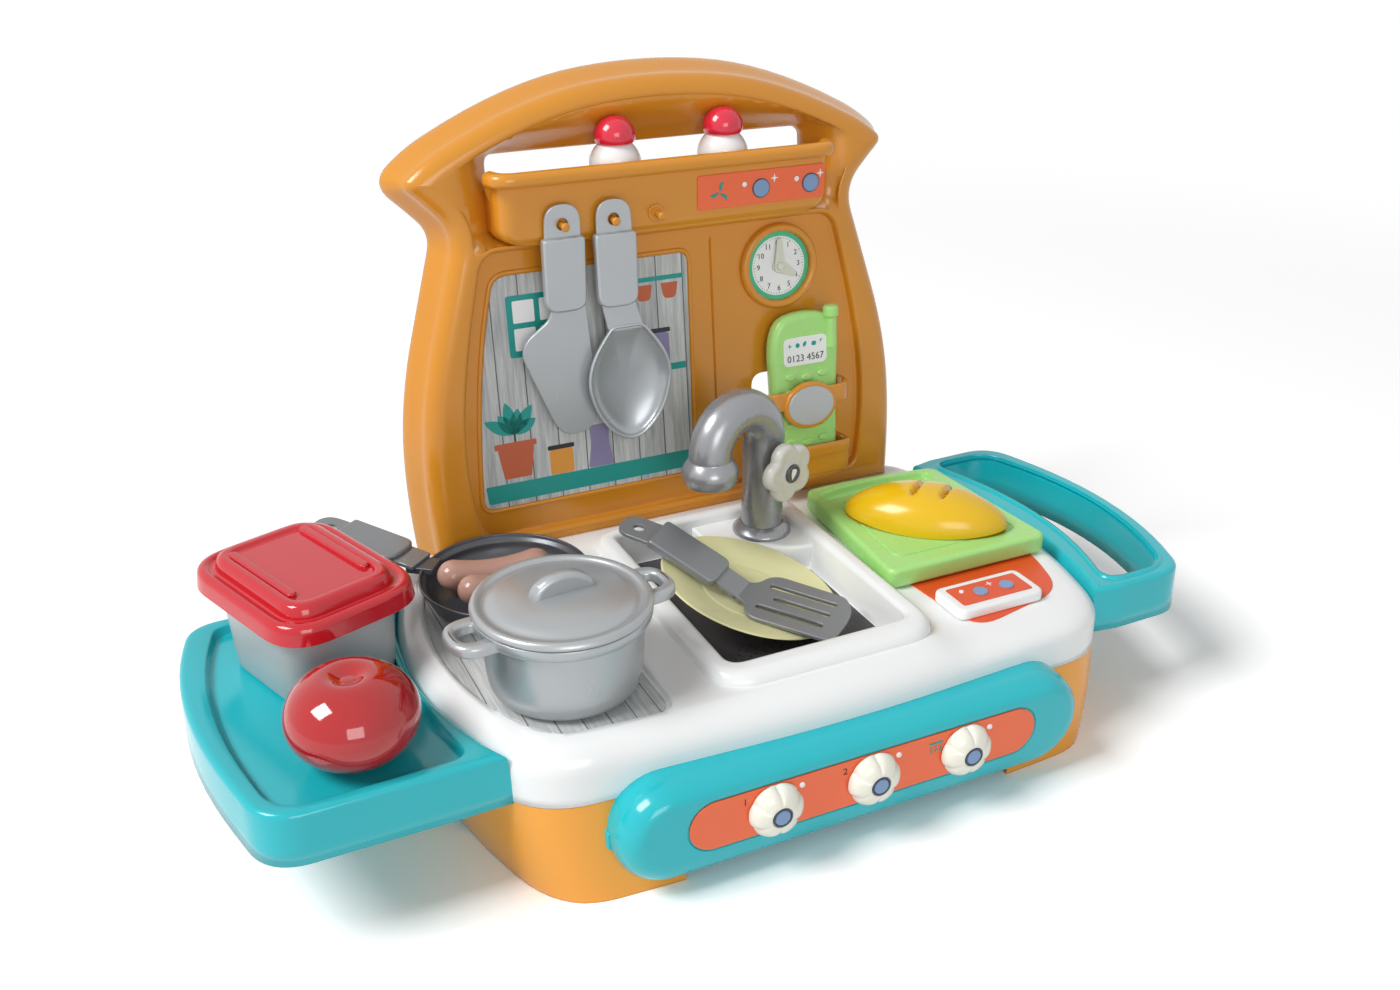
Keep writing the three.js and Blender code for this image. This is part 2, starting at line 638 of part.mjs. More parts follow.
// Shared grip of the kitchen tools: a round tab with a hole, then a thicker sleeve. It runs along +Y
// from the hole.
const GRIP = { sleeveWidth: 27, sleeveStart: 8, sleeveEnd: 54, sleeve: 4, sheet: 2.6 };
function gripWith(bladePlan) {
  const tab = outline([[-11, -12, 11], [11, -12, 11], [11, 20], [-11, 20]]);
  const length = GRIP.sleeveEnd - GRIP.sleeveStart;
  const sleeve = roundedRect(GRIP.sleeveWidth, length, 4, 0, GRIP.sleeveStart + length / 2);
  const flat = (shape) => slab(shape, -GRIP.sheet / 2, GRIP.sheet / 2);
  const hole = new THREE.CylinderGeometry(3.5, 3.5, 20, 12).rotateX(Math.PI / 2);
  return cut(join(flat(tab), slab(sleeve, -GRIP.sheet / 2, GRIP.sleeve, 1.4, 3), flat(bladePlan)), hole);
}

const panHandlePlan = () => outline([[-10, 50], [-10, 68, 4], [10, 68, 4], [10, 50]]);
const PAN_GRIP = { x: -85.2, y: 82.3, z: 27.6, heading: 220.4, slope: -7.5 };
const panHandle = group([PAN_GRIP.x, PAN_GRIP.y, PAN_GRIP.z], [0, 0, PAN_GRIP.heading], panFrame);
add('pan_handle', gripWith(panHandlePlan()), 0x737678, { turn: [PAN_GRIP.slope, 0, 0], parent: panHandle });

// A bent rod with round ends, lying along X.
function sausage() {
  const rod = new THREE.CapsuleGeometry(9.4, 50, 4, 12).rotateZ(Math.PI / 2);
  return reshape(rod, (x, y, z) => [x, y + 0.004 * x * x, z]);
}
[[-145.5, 44.5, -8], [-139.5, 22, -8]].forEach(([x, y, turn], i) => {
  add(`sausage_${i + 1}`, sausage(), 0xb99182, { at: [x, y, HOB_TOP + 2 + GAP + 9.4], turn: [0, 0, turn] });
});

// ---------------------------------------------------------------- box and tomato on the tray

const TRAY_FLOOR = 82.4 + GAP;
const BOX = { x: -258.7, y: 33, turn: 20, height: 51 };
const boxFrame = group([BOX.x, BOX.y, TRAY_FLOOR], [0, 0, BOX.turn]);

// A tub whose sides spread upwards by the given factor.
function tub(width, depth, reach, bottom, top, spread) {
  return reshape(slab(roundedRect(width, depth, reach), bottom, top), (x, y, z) => {
    const grow = 1 + (spread - 1) * (z - bottom) / (top - bottom);
    return [x * grow, y * grow, z];
  });
}
const boxBody = () => cut(tub(68, 82, 22, 0, BOX.height, 1.08), tub(63, 77, 20, 2.5, BOX.height + 1, 1.08));
add('storage_box', boxBody(), 0xa0a0a0, { at: [-3.8, -9, 0], parent: boxFrame });

// The lid is longer than the box, so it stands out over both ends.
function boxLid() {
  const rim = domed(roundedRect(88, 118, 28), -8, 3.5, 2.4);
  const raised = domed(roundedRect(66, 86, 16), 2, 9.5, 4);
  const under = slab(roundedRect(83, 113, 26), -12, 0);
  return cut(join(rim, raised), under, slab(roundedRect(56, 76, 12), -1, 6));
}
add('box_lid', boxLid(), RED, { at: [0, 0, BOX.height + GAP], parent: boxFrame });

const TOMATO = { x: -258, y: -73, radius: 34.5, half: 26 };
const tomatoBody = () => new THREE.SphereGeometry(1, 24, 14)
  .rotateX(Math.PI / 2).scale(TOMATO.radius, TOMATO.radius, TOMATO.half);
add('tomato', cut(tomatoBody(), block(-50, 50, -50, 50, -60, 0.9 - TOMATO.half)), 0xbe000a,
  { at: [TOMATO.x, TOMATO.y, TRAY_FLOOR + TOMATO.half - 0.9], roughness: 0.12 });

// ---------------------------------------------------------------- plate and turner in the sink

const PLATE = { x: -4.5, y: -22.5, z: 94.8, radius: 57 };
const plateFrame = group([PLATE.x, PLATE.y, PLATE.z], [7.4, 14.3, 0]);
const plateBody = () => turned([
  [0, -10.6], [16, -9.6], [32, -6.4], [45, -3], [56, -1.6], [PLATE.radius, -0.6], [56, 0], [46, -1.4],
  [32, -4.8], [16, -8], [0, -9],
], 36);
add('plate', plateBody(), 0xdedca5, { parent: plateFrame });

// The turner lies on the plate's edge: a level blade, a sloping sleeve, and a flatter tab with a hole.
function turnerBody() {
  const blade = outline([
    [-9, -2, 3], [-12, -6, 3], [-23.5, -10, 9], [-22.5, -66, 5], [22.5, -66, 5], [23.5, -10, 9],
    [12, -6, 3], [9, -2, 3],
  ]);
  const slot = (x, from) => roundedRect(4, 56 + from, 2, x, (from - 56) / 2);
  const level = slab(withHoles(blade, slot(-11.5, -13), slot(0, -20), slot(11.5, -13)), -1.2, 1.2);
  const neck = slab(roundedRect(18, 30, 2, 0, 9), -1.2, 1.2).rotateX(degrees(23));
  const sleeve = slab(roundedRect(27, 48, 5, 0, 40), -1.2, 3.6, 1.4, 3).rotateX(degrees(20));
  const tab = slab(outline([[-11, 0], [11, 0], [11, 28, 11], [-11, 28, 11]]), -1.2, 1.2);
  const hole = new THREE.CylinderGeometry(3.5, 3.5, 20, 12).rotateX(Math.PI / 2).translate(0, 16, 0);
  const bentTab = cut(tab, hole).rotateX(degrees(4)).translate(0, 56, 20.6);
  return join(level, neck, sleeve, bentTab);
}
const TURNER = { x: -12.6, y: -28, z: 95, heading: 39, rise: 5.8 };
add(
  'turner', turnerBody(), 0x6e7173,
  { at: [TURNER.x, TURNER.y, TURNER.z], turn: [TURNER.rise, 0, TURNER.heading] }
);

// ---------------------------------------------------------------- hanging spatula and spoon

const hanging = (hook, y, lean) => group([HOOKS[hook], y, HOOK_HEIGHT + 0.6], [90 + lean, 0, 180]);
const spatulaPlan = () => outline([
  [-13, 50], [-14, 62], [-17, 92, 10], [-19, 134, 14], [6, 138, 14], [17, 112, 14], [32, 74, 12],
  [10, 58, 5],
  [9, 50],
]);
add('flat_spatula', gripWith(spatulaPlan()), STEEL_GREY, { parent: hanging(0, 95, 0), metalness: 0.25 });

function spoonBody() {
  const neck = outline([[-11, 50], [-13, 76], [13, 76], [11, 50]]);
  const shell = (grow) => new THREE.SphereGeometry(1, 20, 8).scale(28 + grow, 38 + grow, 11 + grow);
  const bowl = cut(shell(0), shell(-2), block(-60, 60, -60, 60, 0.1, 60)).translate(-6, 106, 1.2);
  return join(gripWith(neck), bowl);
}
add('spoon', spoonBody(), STEEL_GREY, { parent: hanging(1, 93.4, -3.6), metalness: 0.25 });

// ---------------------------------------------------------------- cutting board with bread

const BOARD = { x: 133, y: 3, thickness: 13 };
const boardPlan = () => outline([[-59.5, -61, 8], [59.5, -61, 8], [52, 58, 8], [0, 66, 50], [-50, 64, 10]]);
const boardGroove = () => outline([
  [-46, 50, 4], [0, 56, 30], [44, 50, 4], [44, 44, 4], [0, 50, 30], [-46, 44, 4],
]);
const boardBottom = SCALE_TOP + GAP;
add('cutting_board', cut(
  slab(boardPlan(), 0, BOARD.thickness, 2.4), slab(boardGroove(), BOARD.thickness - 4, 30)
), GREEN,
  { at: [BOARD.x, BOARD.y, boardBottom] });

function breadBody() {
  const loaf = new THREE.SphereGeometry(1, 24, 12);
  return reshape(loaf, (x, y, z) => {
    const taper = 1 - 0.25 * x * x;
    return [x * 53, y * 27 * taper, (z < 0 ? z * 0.12 : z) * 22.5 * taper];
  });
}
add(
  'bread', breadBody(), 0xe1b414,
  { at: [131.5, -8, boardBottom + BOARD.thickness + GAP + 2.7], turn: [0, 0, -40] }
);

// ---------------------------------------------------------------- shakers on the shelf

const SHAKER_SPREAD = [-30, 43.5];
const shakerBody = () => turned([
  [0, 0], [14.6, 0], [15.4, 1], [16.2, 36], [16, 41], [13.6, 46], [10.6, 49.4], [0, 50],
], 20);
const shakerCap = () => turned([[0, 0], [11.6, 0], [12.7, 3], [12.7, 7], [10, 12], [5.6, 15], [0, 16]], 20);
SHAKER_SPREAD.forEach((x, i) => {
  const stand = group([x, 117.2, SHELF_FLOOR + 2.5 + GAP]);
  add(`shaker_${i + 1}`, shakerBody(), 0xeef1f3, { parent: stand });
  add(`shaker_cap_${i + 1}`, shakerCap(), 0xe12840, { at: [0, 0, 50 + GAP], parent: stand });
});

model.position.set(...CENTRE_SHIFT);

const part = new THREE.Group();
part.add(model);
export default part;
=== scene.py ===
# %% [markdown]
# A toy kitchen with its pots, tools and food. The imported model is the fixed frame: every piece made here
# rides on one of its bodies and stands for one or more of its nodes. Shapes are written in millimetres from
# the middle of the kitchen's body, with +X to the right, +Y to the back and +Z up, and turned into metres
# in the frame at the very end, when a mesh is made.

# %% The frame, the units and the middle of the body
import math

import bmesh
import bpy
import numpy as np
from mathutils.geometry import delaunay_2d_cdt
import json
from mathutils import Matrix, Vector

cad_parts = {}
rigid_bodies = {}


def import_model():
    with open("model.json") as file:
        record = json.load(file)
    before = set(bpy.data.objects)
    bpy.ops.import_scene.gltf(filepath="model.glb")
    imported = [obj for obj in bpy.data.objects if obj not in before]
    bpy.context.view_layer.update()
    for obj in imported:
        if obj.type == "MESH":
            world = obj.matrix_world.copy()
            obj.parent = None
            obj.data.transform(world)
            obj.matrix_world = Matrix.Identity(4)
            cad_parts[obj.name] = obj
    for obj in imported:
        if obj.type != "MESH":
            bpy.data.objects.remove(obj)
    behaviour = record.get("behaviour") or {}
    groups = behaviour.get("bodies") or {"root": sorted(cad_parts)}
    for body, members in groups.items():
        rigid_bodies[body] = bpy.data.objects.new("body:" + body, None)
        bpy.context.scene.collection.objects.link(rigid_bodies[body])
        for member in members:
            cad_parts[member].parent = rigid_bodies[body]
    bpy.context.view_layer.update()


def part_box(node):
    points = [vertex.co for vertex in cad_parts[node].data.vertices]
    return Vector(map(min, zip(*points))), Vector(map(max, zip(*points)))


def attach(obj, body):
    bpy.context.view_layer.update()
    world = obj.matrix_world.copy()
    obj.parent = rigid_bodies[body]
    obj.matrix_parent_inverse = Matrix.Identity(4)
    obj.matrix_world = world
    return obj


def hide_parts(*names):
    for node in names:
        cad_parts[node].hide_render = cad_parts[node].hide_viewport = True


for leftover in list(bpy.data.objects):
    bpy.data.objects.remove(leftover)
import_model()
MM = 0.001
WELD, SLIVER = 0.015 * MM, 0.002 * MM


def span(node):
    """Lowest and highest corner of a node of the frame, in millimetres of the frame."""
    low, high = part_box(node)
    return np.array(low) / MM, np.array(high) / MM


TAP_STAND = np.array([38.0, 44.0])
flange_low, flange_high = span("tap_flange")
SHIFT = np.append((flange_low + flange_high)[:2] / 2 - TAP_STAND, 0.0)
KITCHEN = "kitchen"


def middle(node):
    """Centre of a node's box, in millimetres from the body's middle."""
    low, high = span(node)
    return (low + high) / 2 - SHIFT


def foot(node):
    """Centre of the underside of a node's box, in millimetres from the body's middle."""
    low, high = span(node)
    return np.array([*((low + high)[:2] / 2), low[2]]) - SHIFT


# %% [markdown]
# Outlines. A moulded part is best described by its corners and by how far from each corner the rounding
# starts. A quadratic curve then carries the line round the corner. The same number of points is used for
# each corner, so two outlines with the same corners can be joined point to point by a wall.

# %% Outlines and profiles
def outline(corners, arc=7, side=4, out=0.0):
    """Closed outline through corners (x, y, reach), listed anticlockwise. Round a corner C the line is the
    quadratic curve (1-t)^2 A + 2t(1-t) C + t^2 B, where A and B lie reach before and after C on its sides.
    out moves the sides outwards, and each reach then changes by out * tan(half the corner's turn)."""
    data = np.array([(*corner, 0.0)[:3] for corner in corners], float)
    points, reach = data[:, :2], data[:, 2]
    along = np.roll(points, -1, 0) - points
    unit = along / np.hypot(*along.T)[:, None]
    before_unit = np.roll(unit, 1, 0)
    cosine, sine = (unit * before_unit).sum(1), np.cross(before_unit, unit)
    half_turn = sine / (1 + cosine)
    both = unit + before_unit
    outward = np.stack([both[:, 1], -both[:, 0]], 1) / (1 + cosine)[:, None]
    points = points + out * outward
    reach = np.where(reach > 0, np.maximum(reach + out * half_turn, 0.05), 0.0)
    length = np.hypot(*(np.roll(points, -1, 0) - points).T)
    share = np.minimum(1, 0.98 * length / (reach + np.roll(reach, -1) + 1e-9))
    after = points + unit * (reach * share)[:, None]
    before = points - before_unit * (reach * np.roll(share, 1))[:, None]
    t = np.linspace(0, 1, arc + 1)[None, :, None]
    curve = (1 - t) ** 2 * before[:, None] + 2 * t * (1 - t) * points[:, None] + t**2 * after[:, None]
    s = np.linspace(0, 1, side + 1)[None, 1:-1, None]
    straight = (1 - s) * after[:, None] + s * np.roll(before, -1, 0)[:, None]
    return np.concatenate([curve, straight], 1).reshape(-1, 2)


def mirrored(half):
    """Completes a right half, listed from the bottom up, with its mirror image."""
    left = [(-x, *rest) for x, *rest in reversed(half) if x > 0]
    return [*half, *left]


def rounded_box(width, depth, reach, x=0.0, y=0.0, arc=7, side=4):
    """Outline of a rectangle with rounded corners about (x, y)."""
    a, b = width / 2, depth / 2
    corners = [(x - a, y - b, reach), (x + a, y - b, reach), (x + a, y + b, reach), (x - a, y + b, reach)]
    return outline(corners, arc, side)


def ring(radius, x=0.0, y=0.0, count=48, squeeze=1.0):
    """Circle about (x, y), or an ellipse where squeeze scales its height."""
    angle = np.linspace(0, 2 * np.pi, count, endpoint=False)
    return np.stack([x + radius * np.cos(angle), y + squeeze * radius * np.sin(angle)], 1)


def stadium(half_length, half_height, count=20, straight=10):
    """Two half circles joined by straight lines, in equal steps."""
    turn = np.linspace(-np.pi / 2, np.pi / 2, count)
    reach = half_length - half_height
    right = np.stack([reach + half_height * np.cos(turn), half_height * np.sin(turn)], 1)
    top = np.stack([np.linspace(reach, -reach, straight + 2)[1:-1], np.full(straight, half_height)], 1)
    return np.concatenate([right, top, -right, -top])


def spun(loop, degrees, at=(0.0, 0.0)):
    """Turns a flat loop about the origin, then moves it."""
    a = math.radians(degrees)
    return loop @ np.array([[math.cos(a), math.sin(a)], [-math.sin(a), math.cos(a)]]) + at


def grow(loop, distance):
    """Moves a loop outwards. The shift at a point is (a + b) / (1 + a.b) times the distance, where a and b
    are the outward normals of the two sides that meet there. Points that repeat move together."""
    fresh = np.hypot(*(loop - np.roll(loop, 1, 0)).T) > 1e-6
    single = loop[fresh]
    ahead = np.roll(single, -1, 0) - single
    normal = np.stack([ahead[:, 1], -ahead[:, 0]], 1) / np.hypot(*ahead.T)[:, None]
    before = np.roll(normal, 1, 0)
    share = 1 + (normal * before).sum(1, keepdims=True)
    shift = (normal + before) / np.maximum(share, 0.3)
    return loop + distance * shift[np.cumsum(fresh) - 1]


# %% Open profiles and steps
def soft_path(corners, arc=5):
    """Open line through corners (x, y, reach), each rounded by the same quadratic curve as an outline's."""
    data = np.array([(*corner, 0.0)[:3] for corner in corners], float)
    inner = []
    for before, corner, after in zip(data[:-2], data[1:-1], data[2:]):
        if corner[2] <= 0:
            inner.append(corner[None, :2])
            continue
        back, ahead = before[:2] - corner[:2], after[:2] - corner[:2]
        a = corner[:2] + back * min(0.49, corner[2] / np.hypot(*back))
        b = corner[:2] + ahead * min(0.49, corner[2] / np.hypot(*ahead))
        t = np.linspace(0, 1, arc + 1)[:, None]
        inner.append((1 - t) ** 2 * a + 2 * t * (1 - t) * corner[:2] + t**2 * b)
    return np.concatenate([data[:1, :2], *inner, data[-1:, :2]])


def quarter(radius, steps=5):
    """Quarter circle as (inset, drop): from the level top, radius inside the edge, to the upright side."""
    angle = np.linspace(0, np.pi / 2, steps + 1)
    return np.stack([radius * (1 - np.sin(angle)), radius * (1 - np.cos(angle))], 1)


def smooth_step(low, high, value):
    """0 below low and 1 above high, with the curve 3t^2 - 2t^3 between them."""
    t = np.clip((value - low) / (high - low), 0, 1)
    return t * t * (3 - 2 * t)


# %% [markdown]
# Skins. A skin gathers patches: walls, which are grids of points, and flat or curved caps, which are
# triangles between an outer loop and its holes. Patches that share an edge are welded when the mesh is made.
# A cap also gets a grid of inner points, so that a curved surface keeps its curve between the loops.

# %% Skins made of walls and caps
def inside(points, loop):
    """True for points inside a loop, by counting how many of its edges lie to the right of each point."""
    a, b = loop, np.roll(loop, -1, 0)
    x, y = points[:, :1], points[:, 1:2]
    crosses = (a[:, 1] > y) != (b[:, 1] > y)
    rise = np.where(np.abs(b[:, 1] - a[:, 1]) < 1e-9, 1e-9, b[:, 1] - a[:, 1])
    where = (b[:, 0] - a[:, 0]) * (y - a[:, 1]) / rise + a[:, 0]
    return (crosses & (x < where)).sum(1) % 2 == 1


NEAREST = 0.35


def fill(loops, spacing=0.0, extra=None):
    """Points and triangles between the first loop and the others, by constrained Delaunay triangulation.
    Inner points closer to a loop than NEAREST are left out."""
    loops = [loop[np.hypot(*(loop - np.roll(loop, 1, 0)).T) > 1e-4] for loop in loops]
    loops = [loop.astype(np.float32).astype(float) for loop in loops]
    points = list(loops)
    edges, start = [], 0
    for loop in points:
        index = np.arange(len(loop))
        edges.append(np.stack([start + index, start + np.roll(index, -1)], 1))
        start += len(loop)
    inner = [] if extra is None else [np.asarray(extra, float)]
    if spacing:
        low, high = points[0].min(0), points[0].max(0)
        grid = np.stack(np.meshgrid(*[np.arange(low[k] + spacing / 2, high[k], spacing) for k in (0, 1)]), -1)
        inner.append(grid.reshape(-1, 2))
    for group in inner:
        keep = inside(group, points[0])
        for hole in points[1:]:
            keep &= ~inside(group, hole)
        group = group[keep]
        border = np.concatenate(loops)
        near = np.sqrt(((group[:, None] - border[None]) ** 2).sum(-1)).min(1) if len(group) else group[:, :0]
        points.append(group[near > NEAREST] if len(group) else group)
    flat = np.concatenate(points)
    made = delaunay_2d_cdt(flat.tolist(), np.concatenate(edges).tolist(), [], 0, 1e-6)
    corners = np.array([tuple(point) for point in made[0]])
    triangles = np.array([face for face in made[2] if len(face) == 3])
    centre = corners[triangles].mean(1)
    keep = inside(centre, loops[0])
    for hole in loops[1:]:
        keep &= ~inside(centre, hole)
    return corners, triangles[keep]


class Skin:
    """Patches of one surface, in millimetres."""

    def __init__(self):
        self.points, self.faces, self.count = [], [], 0

    def patch(self, points, faces):
        self.points.append(np.asarray(points, float).reshape(-1, 3))
        self.faces.extend([[int(corner) + self.count for corner in face] for face in faces])
        self.count += len(self.points[-1])
        return self

    def wall(self, rows, closed=True):
        """Quads between rows of equal length. A closed row joins its last point to its first."""
        rows = np.asarray(rows, float)
        number, width = rows.shape[:2]
        index = np.arange(number * width).reshape(number, width)
        ahead = np.roll(index, -1, 1) if closed else index[:, 1:]
        here = index if closed else index[:, :-1]
        quads = np.stack([here[:-1], ahead[:-1], ahead[1:], here[1:]], -1).reshape(-1, 4)
        return self.patch(rows, quads)

    def cap(self, loops, height, spacing=0.0, extra=None):
        """A filled face. Its height is a number, or a function of the points' x and y."""
        flat, triangles = fill(loops, spacing, extra)
        level = height(flat[:, 0], flat[:, 1]) if callable(height) else np.full(len(flat), float(height))
        return self.patch(np.column_stack([flat, level]), triangles)

    def moved(self, move):
        """The same skin with every point moved by a function of an N x 3 array."""
        self.points = [move(np.concatenate(self.points))]
        return self


# %% Plates, turned shapes and tubes
def add_skin(target, other):
    """Joins another skin to the first."""
    return target.patch(np.concatenate(other.points), other.faces)


def level(loop, height):
    """A loop lifted to a height: a number, or a function of the points' x and y."""
    z = height(loop[:, 0], loop[:, 1]) if callable(height) else np.full(len(loop), float(height))
    return np.column_stack([loop, z])


def plate(loop, bottom, top, edge=0.6, under=0.0, holes=(), steps=4, spacing=0.0, skin=None):
    """A flat body with quarter-round edges: edge is the radius at the top and under the one at the bottom.
    Holes go right through and get the same edges."""
    skin = skin or Skin()
    profile = [(inset, bottom + drop) for inset, drop in quarter(under, steps)] if under else [(0.0, bottom)]
    if edge:
        profile += [(inset, top - drop) for inset, drop in quarter(edge, steps)[::-1]]
        profile += [(edge + 0.25 * edge, top)]
    else:
        profile += [(0.0, top)]
    ends = [[], []]
    for sign, line in [(-1, loop), *[(1, hole) for hole in holes]]:
        rows = [level(grow(line, sign * inset), height) for inset, height in profile]
        skin.wall(rows)
        ends[0].append(rows[0][:, :2])
        ends[1].append(rows[-1][:, :2])
    skin.cap(ends[0], bottom, spacing)
    skin.cap(ends[1], top, spacing)
    return skin


def lathe(profile, count=64, swell=None, skin=None, at=(0.0, 0.0)):
    """A profile (radius, height) turned about an upright axis, where swell(angle, radius, height) scales
    the radius."""
    profile = np.asarray(profile, float)
    angle = np.linspace(0, 2 * np.pi, count, endpoint=False)
    radius, height = np.meshgrid(profile[:, 0], angle, indexing="ij")[0], profile[:, 1:2] + 0 * angle
    if swell:
        radius = radius * swell(angle[None], radius, height)
    rows = np.stack([at[0] + radius * np.cos(angle), at[1] + radius * np.sin(angle), height], -1)
    return (skin or Skin()).wall(rows)


def tube_rows(path, radius, count=24, flat=1.0):
    """Circles along a path. Their frame is carried from point to point by the smallest turn that keeps it
    square to the path, and the radius may change from point to point."""
    path = np.asarray(path, float)
    size = np.broadcast_to(np.asarray(radius, float), len(path))
    tangent = np.gradient(path, axis=0)
    tangent /= np.linalg.norm(tangent, axis=1)[:, None]
    side = np.cross(tangent[0], [0, 0, 1] if abs(tangent[0][2]) < 0.9 else [0, 1, 0])
    sides = []
    for direction in tangent:
        side = side - direction * (side @ direction)
        side = side / np.linalg.norm(side)
        sides.append(side)
    sides = np.array(sides)
    up = np.cross(sides, tangent)
    angle = np.linspace(0, 2 * np.pi, count, endpoint=False)
    circle = np.cos(angle)[None, :, None] * sides[:, None] + flat * np.sin(angle)[None, :, None] * up[:, None]
    return path[:, None] + size[:, None, None] * circle


def tube(path, radius, count=24, skin=None, flat=1.0):
    """A round bar along a path, with its two ends closed."""
    rows = tube_rows(path, radius, count, flat)
    ends = [np.broadcast_to(np.asarray(path[k], float), (count, 3)) for k in (0, -1)]
    return (skin or Skin()).wall([ends[0], *rows, ends[1]])


# %% [markdown]
# Placing. A piece is modelled lying down, with its own z pointing out of its face, and is then turned into
# place by a frame of three directions. The back panel leans backwards, so everything on it uses one frame.

# %% Frames for placing
def turned(rx=0.0, ry=0.0, rz=0.0):
    """Rotation matrix for turns in degrees about x, then y, then z."""
    a, b, c = np.radians([rx, ry, rz])
    x = np.array([[1, 0, 0], [0, np.cos(a), -np.sin(a)], [0, np.sin(a), np.cos(a)]])
    y = np.array([[np.cos(b), 0, np.sin(b)], [0, 1, 0], [-np.sin(b), 0, np.cos(b)]])
    z = np.array([[np.cos(c), -np.sin(c), 0], [np.sin(c), np.cos(c), 0], [0, 0, 1]])
    return z @ y @ x


class Place:
    """A position and a turn, which can be applied to points and stacked on another place."""

    def __init__(self, at=(0, 0, 0), turn=None, on=None):
        self.at, self.turn = np.asarray(at, float), np.eye(3) if turn is None else turn
        if on is not None:
            self.at, self.turn = on.at + on.turn @ self.at, on.turn @ self.turn

    def __call__(self, points):
        return np.asarray(points, float) @ self.turn.T + self.at


FACING_FRONT = turned(90)
PANEL_LEAN = 5.9
PANEL = Place((0, 87.8, 92), turned(90 - PANEL_LEAN))
FIELD = -6.4


def on_field(x, height, out=0.0):
    """A point of the panel's sunken field, for a height above the floor."""
    return (x, (height - PANEL.at[2]) / math.cos(math.radians(PANEL_LEAN)), FIELD + out)


# %% Making a piece from a skin
def piece(name, skin, body, material, replaces=(), sharp=32.0, wall=0.0, place=None):
    """Welds a skin into a mesh, points its faces outwards and sets it on a body. wall is a thickness in
    millimetres that an open skin gets on its inner side."""
    if place is not None:
        skin.moved(place)
    points = (np.concatenate(skin.points) + SHIFT) * MM
    mesh = bpy.data.meshes.new(name)
    mesh.from_pydata(points.tolist(), [], skin.faces)
    work = bmesh.new()
    work.from_mesh(mesh)
    bmesh.ops.remove_doubles(work, verts=work.verts, dist=WELD)
    bmesh.ops.dissolve_degenerate(work, edges=work.edges, dist=SLIVER)
    bmesh.ops.recalc_face_normals(work, faces=work.faces)
    open_edges = sum(1 for edge in work.edges if len(edge.link_faces) != 2)
    work.to_mesh(mesh)
    work.free()
    mesh.shade_smooth()
    mesh.set_sharp_from_angle(angle=math.radians(sharp))
    made = bpy.data.objects.new(name, mesh)
    bpy.context.scene.collection.objects.link(made)
    mesh.materials.append(material)
    if wall:
        shell = made.modifiers.new("wall", "SOLIDIFY")
        shell.thickness, shell.offset = wall * MM, -1.0
    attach(made, body)
    if replaces:
        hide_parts(*replaces)
    print(f"{name}: {len(mesh.polygons)} faces, {open_edges} open edges")
    return made
# %% [markdown]
# Finishes. Injection-moulded plastic is never quite even: the colour is a touch lighter where the wall is
# thin, the polish varies slowly, and the surface has a faint waviness. One node group makes all three from
# noise on object coordinates, so that every plastic gets the same workmanship with its own numbers.

# %% The moulded-plastic node group
def linear(code):
    """Linear colour from a six-digit sRGB code."""
    parts = np.array([int(code[k:k + 2], 16) for k in (0, 2, 4)]) / 255
    return (*np.where(parts <= 0.04045, parts / 12.92, ((parts + 0.055) / 1.055) ** 2.4), 1.0)


def new_group(name, inputs, outputs):
    """An empty shader group. Inputs and outputs are (name, socket type, default)."""
    group = bpy.data.node_groups.new(name, "ShaderNodeTree")
    for direction, rows in (("INPUT", inputs), ("OUTPUT", outputs)):
        for label, kind, default in rows:
            socket = group.interface.new_socket(label, in_out=direction, socket_type=kind)
            if default is not None:
                socket.default_value = default
    return group, group.nodes.new("NodeGroupInput"), group.nodes.new("NodeGroupOutput")


def node(tree, kind, **values):
    """Adds a node. Keywords set its properties, and a keyword with a socket's name sets that input."""
    made = tree.nodes.new(kind)
    for key, value in values.items():
        label = key.replace("_", " ")
        if label in made.inputs:
            made.inputs[label].default_value = value
        else:
            setattr(made, key, value)
    return made


def math_node(tree, operation, first, second):
    """A Math node fed by sockets or plain numbers."""
    made = tree.nodes.new("ShaderNodeMath")
    made.operation = operation
    for socket, value in zip(made.inputs, (first, second)):
        if isinstance(value, (int, float)):
            socket.default_value = value
        else:
            tree.links.new(value, socket)
    return made.outputs[0]


# %% Its inputs, its three noises and its outputs
FLOAT, COLOUR, VECTOR = "NodeSocketFloat", "NodeSocketColor", "NodeSocketVector"
moulded, moulded_in, moulded_out = new_group(
    "Moulded plastic",
    [("Vector", VECTOR, None), ("Colour", COLOUR, (0.8, 0.8, 0.8, 1)), ("Roughness", FLOAT, 0.25),
     ("Variation", FLOAT, 0.04), ("Grain", FLOAT, 0.0)],
    [("Colour", COLOUR, None), ("Roughness", FLOAT, None), ("Height", FLOAT, None)],
)
slow = node(moulded, "ShaderNodeTexNoise", Scale=14.0, Detail=2.0)
fine = node(moulded, "ShaderNodeTexNoise", Scale=900.0, Detail=3.0)
waves = node(moulded, "ShaderNodeTexNoise", Scale=45.0, Detail=1.0)
for texture in (slow, fine, waves):
    moulded.links.new(moulded_in.outputs["Vector"], texture.inputs["Vector"])
drift = math_node(moulded, "SUBTRACT", slow.outputs["Fac"], 0.5)
amount = math_node(moulded, "MULTIPLY", drift, moulded_in.outputs["Variation"])
brightness = math_node(moulded, "ADD", math_node(moulded, "MULTIPLY", amount, 2.0), 1.0)
tint = node(moulded, "ShaderNodeHueSaturation")
moulded.links.new(moulded_in.outputs["Colour"], tint.inputs["Color"])
moulded.links.new(brightness, tint.inputs["Value"])
moulded.links.new(tint.outputs["Color"], moulded_out.inputs["Colour"])
polish = math_node(moulded, "MULTIPLY", math_node(moulded, "SUBTRACT", waves.outputs["Fac"], 0.5), 0.12)
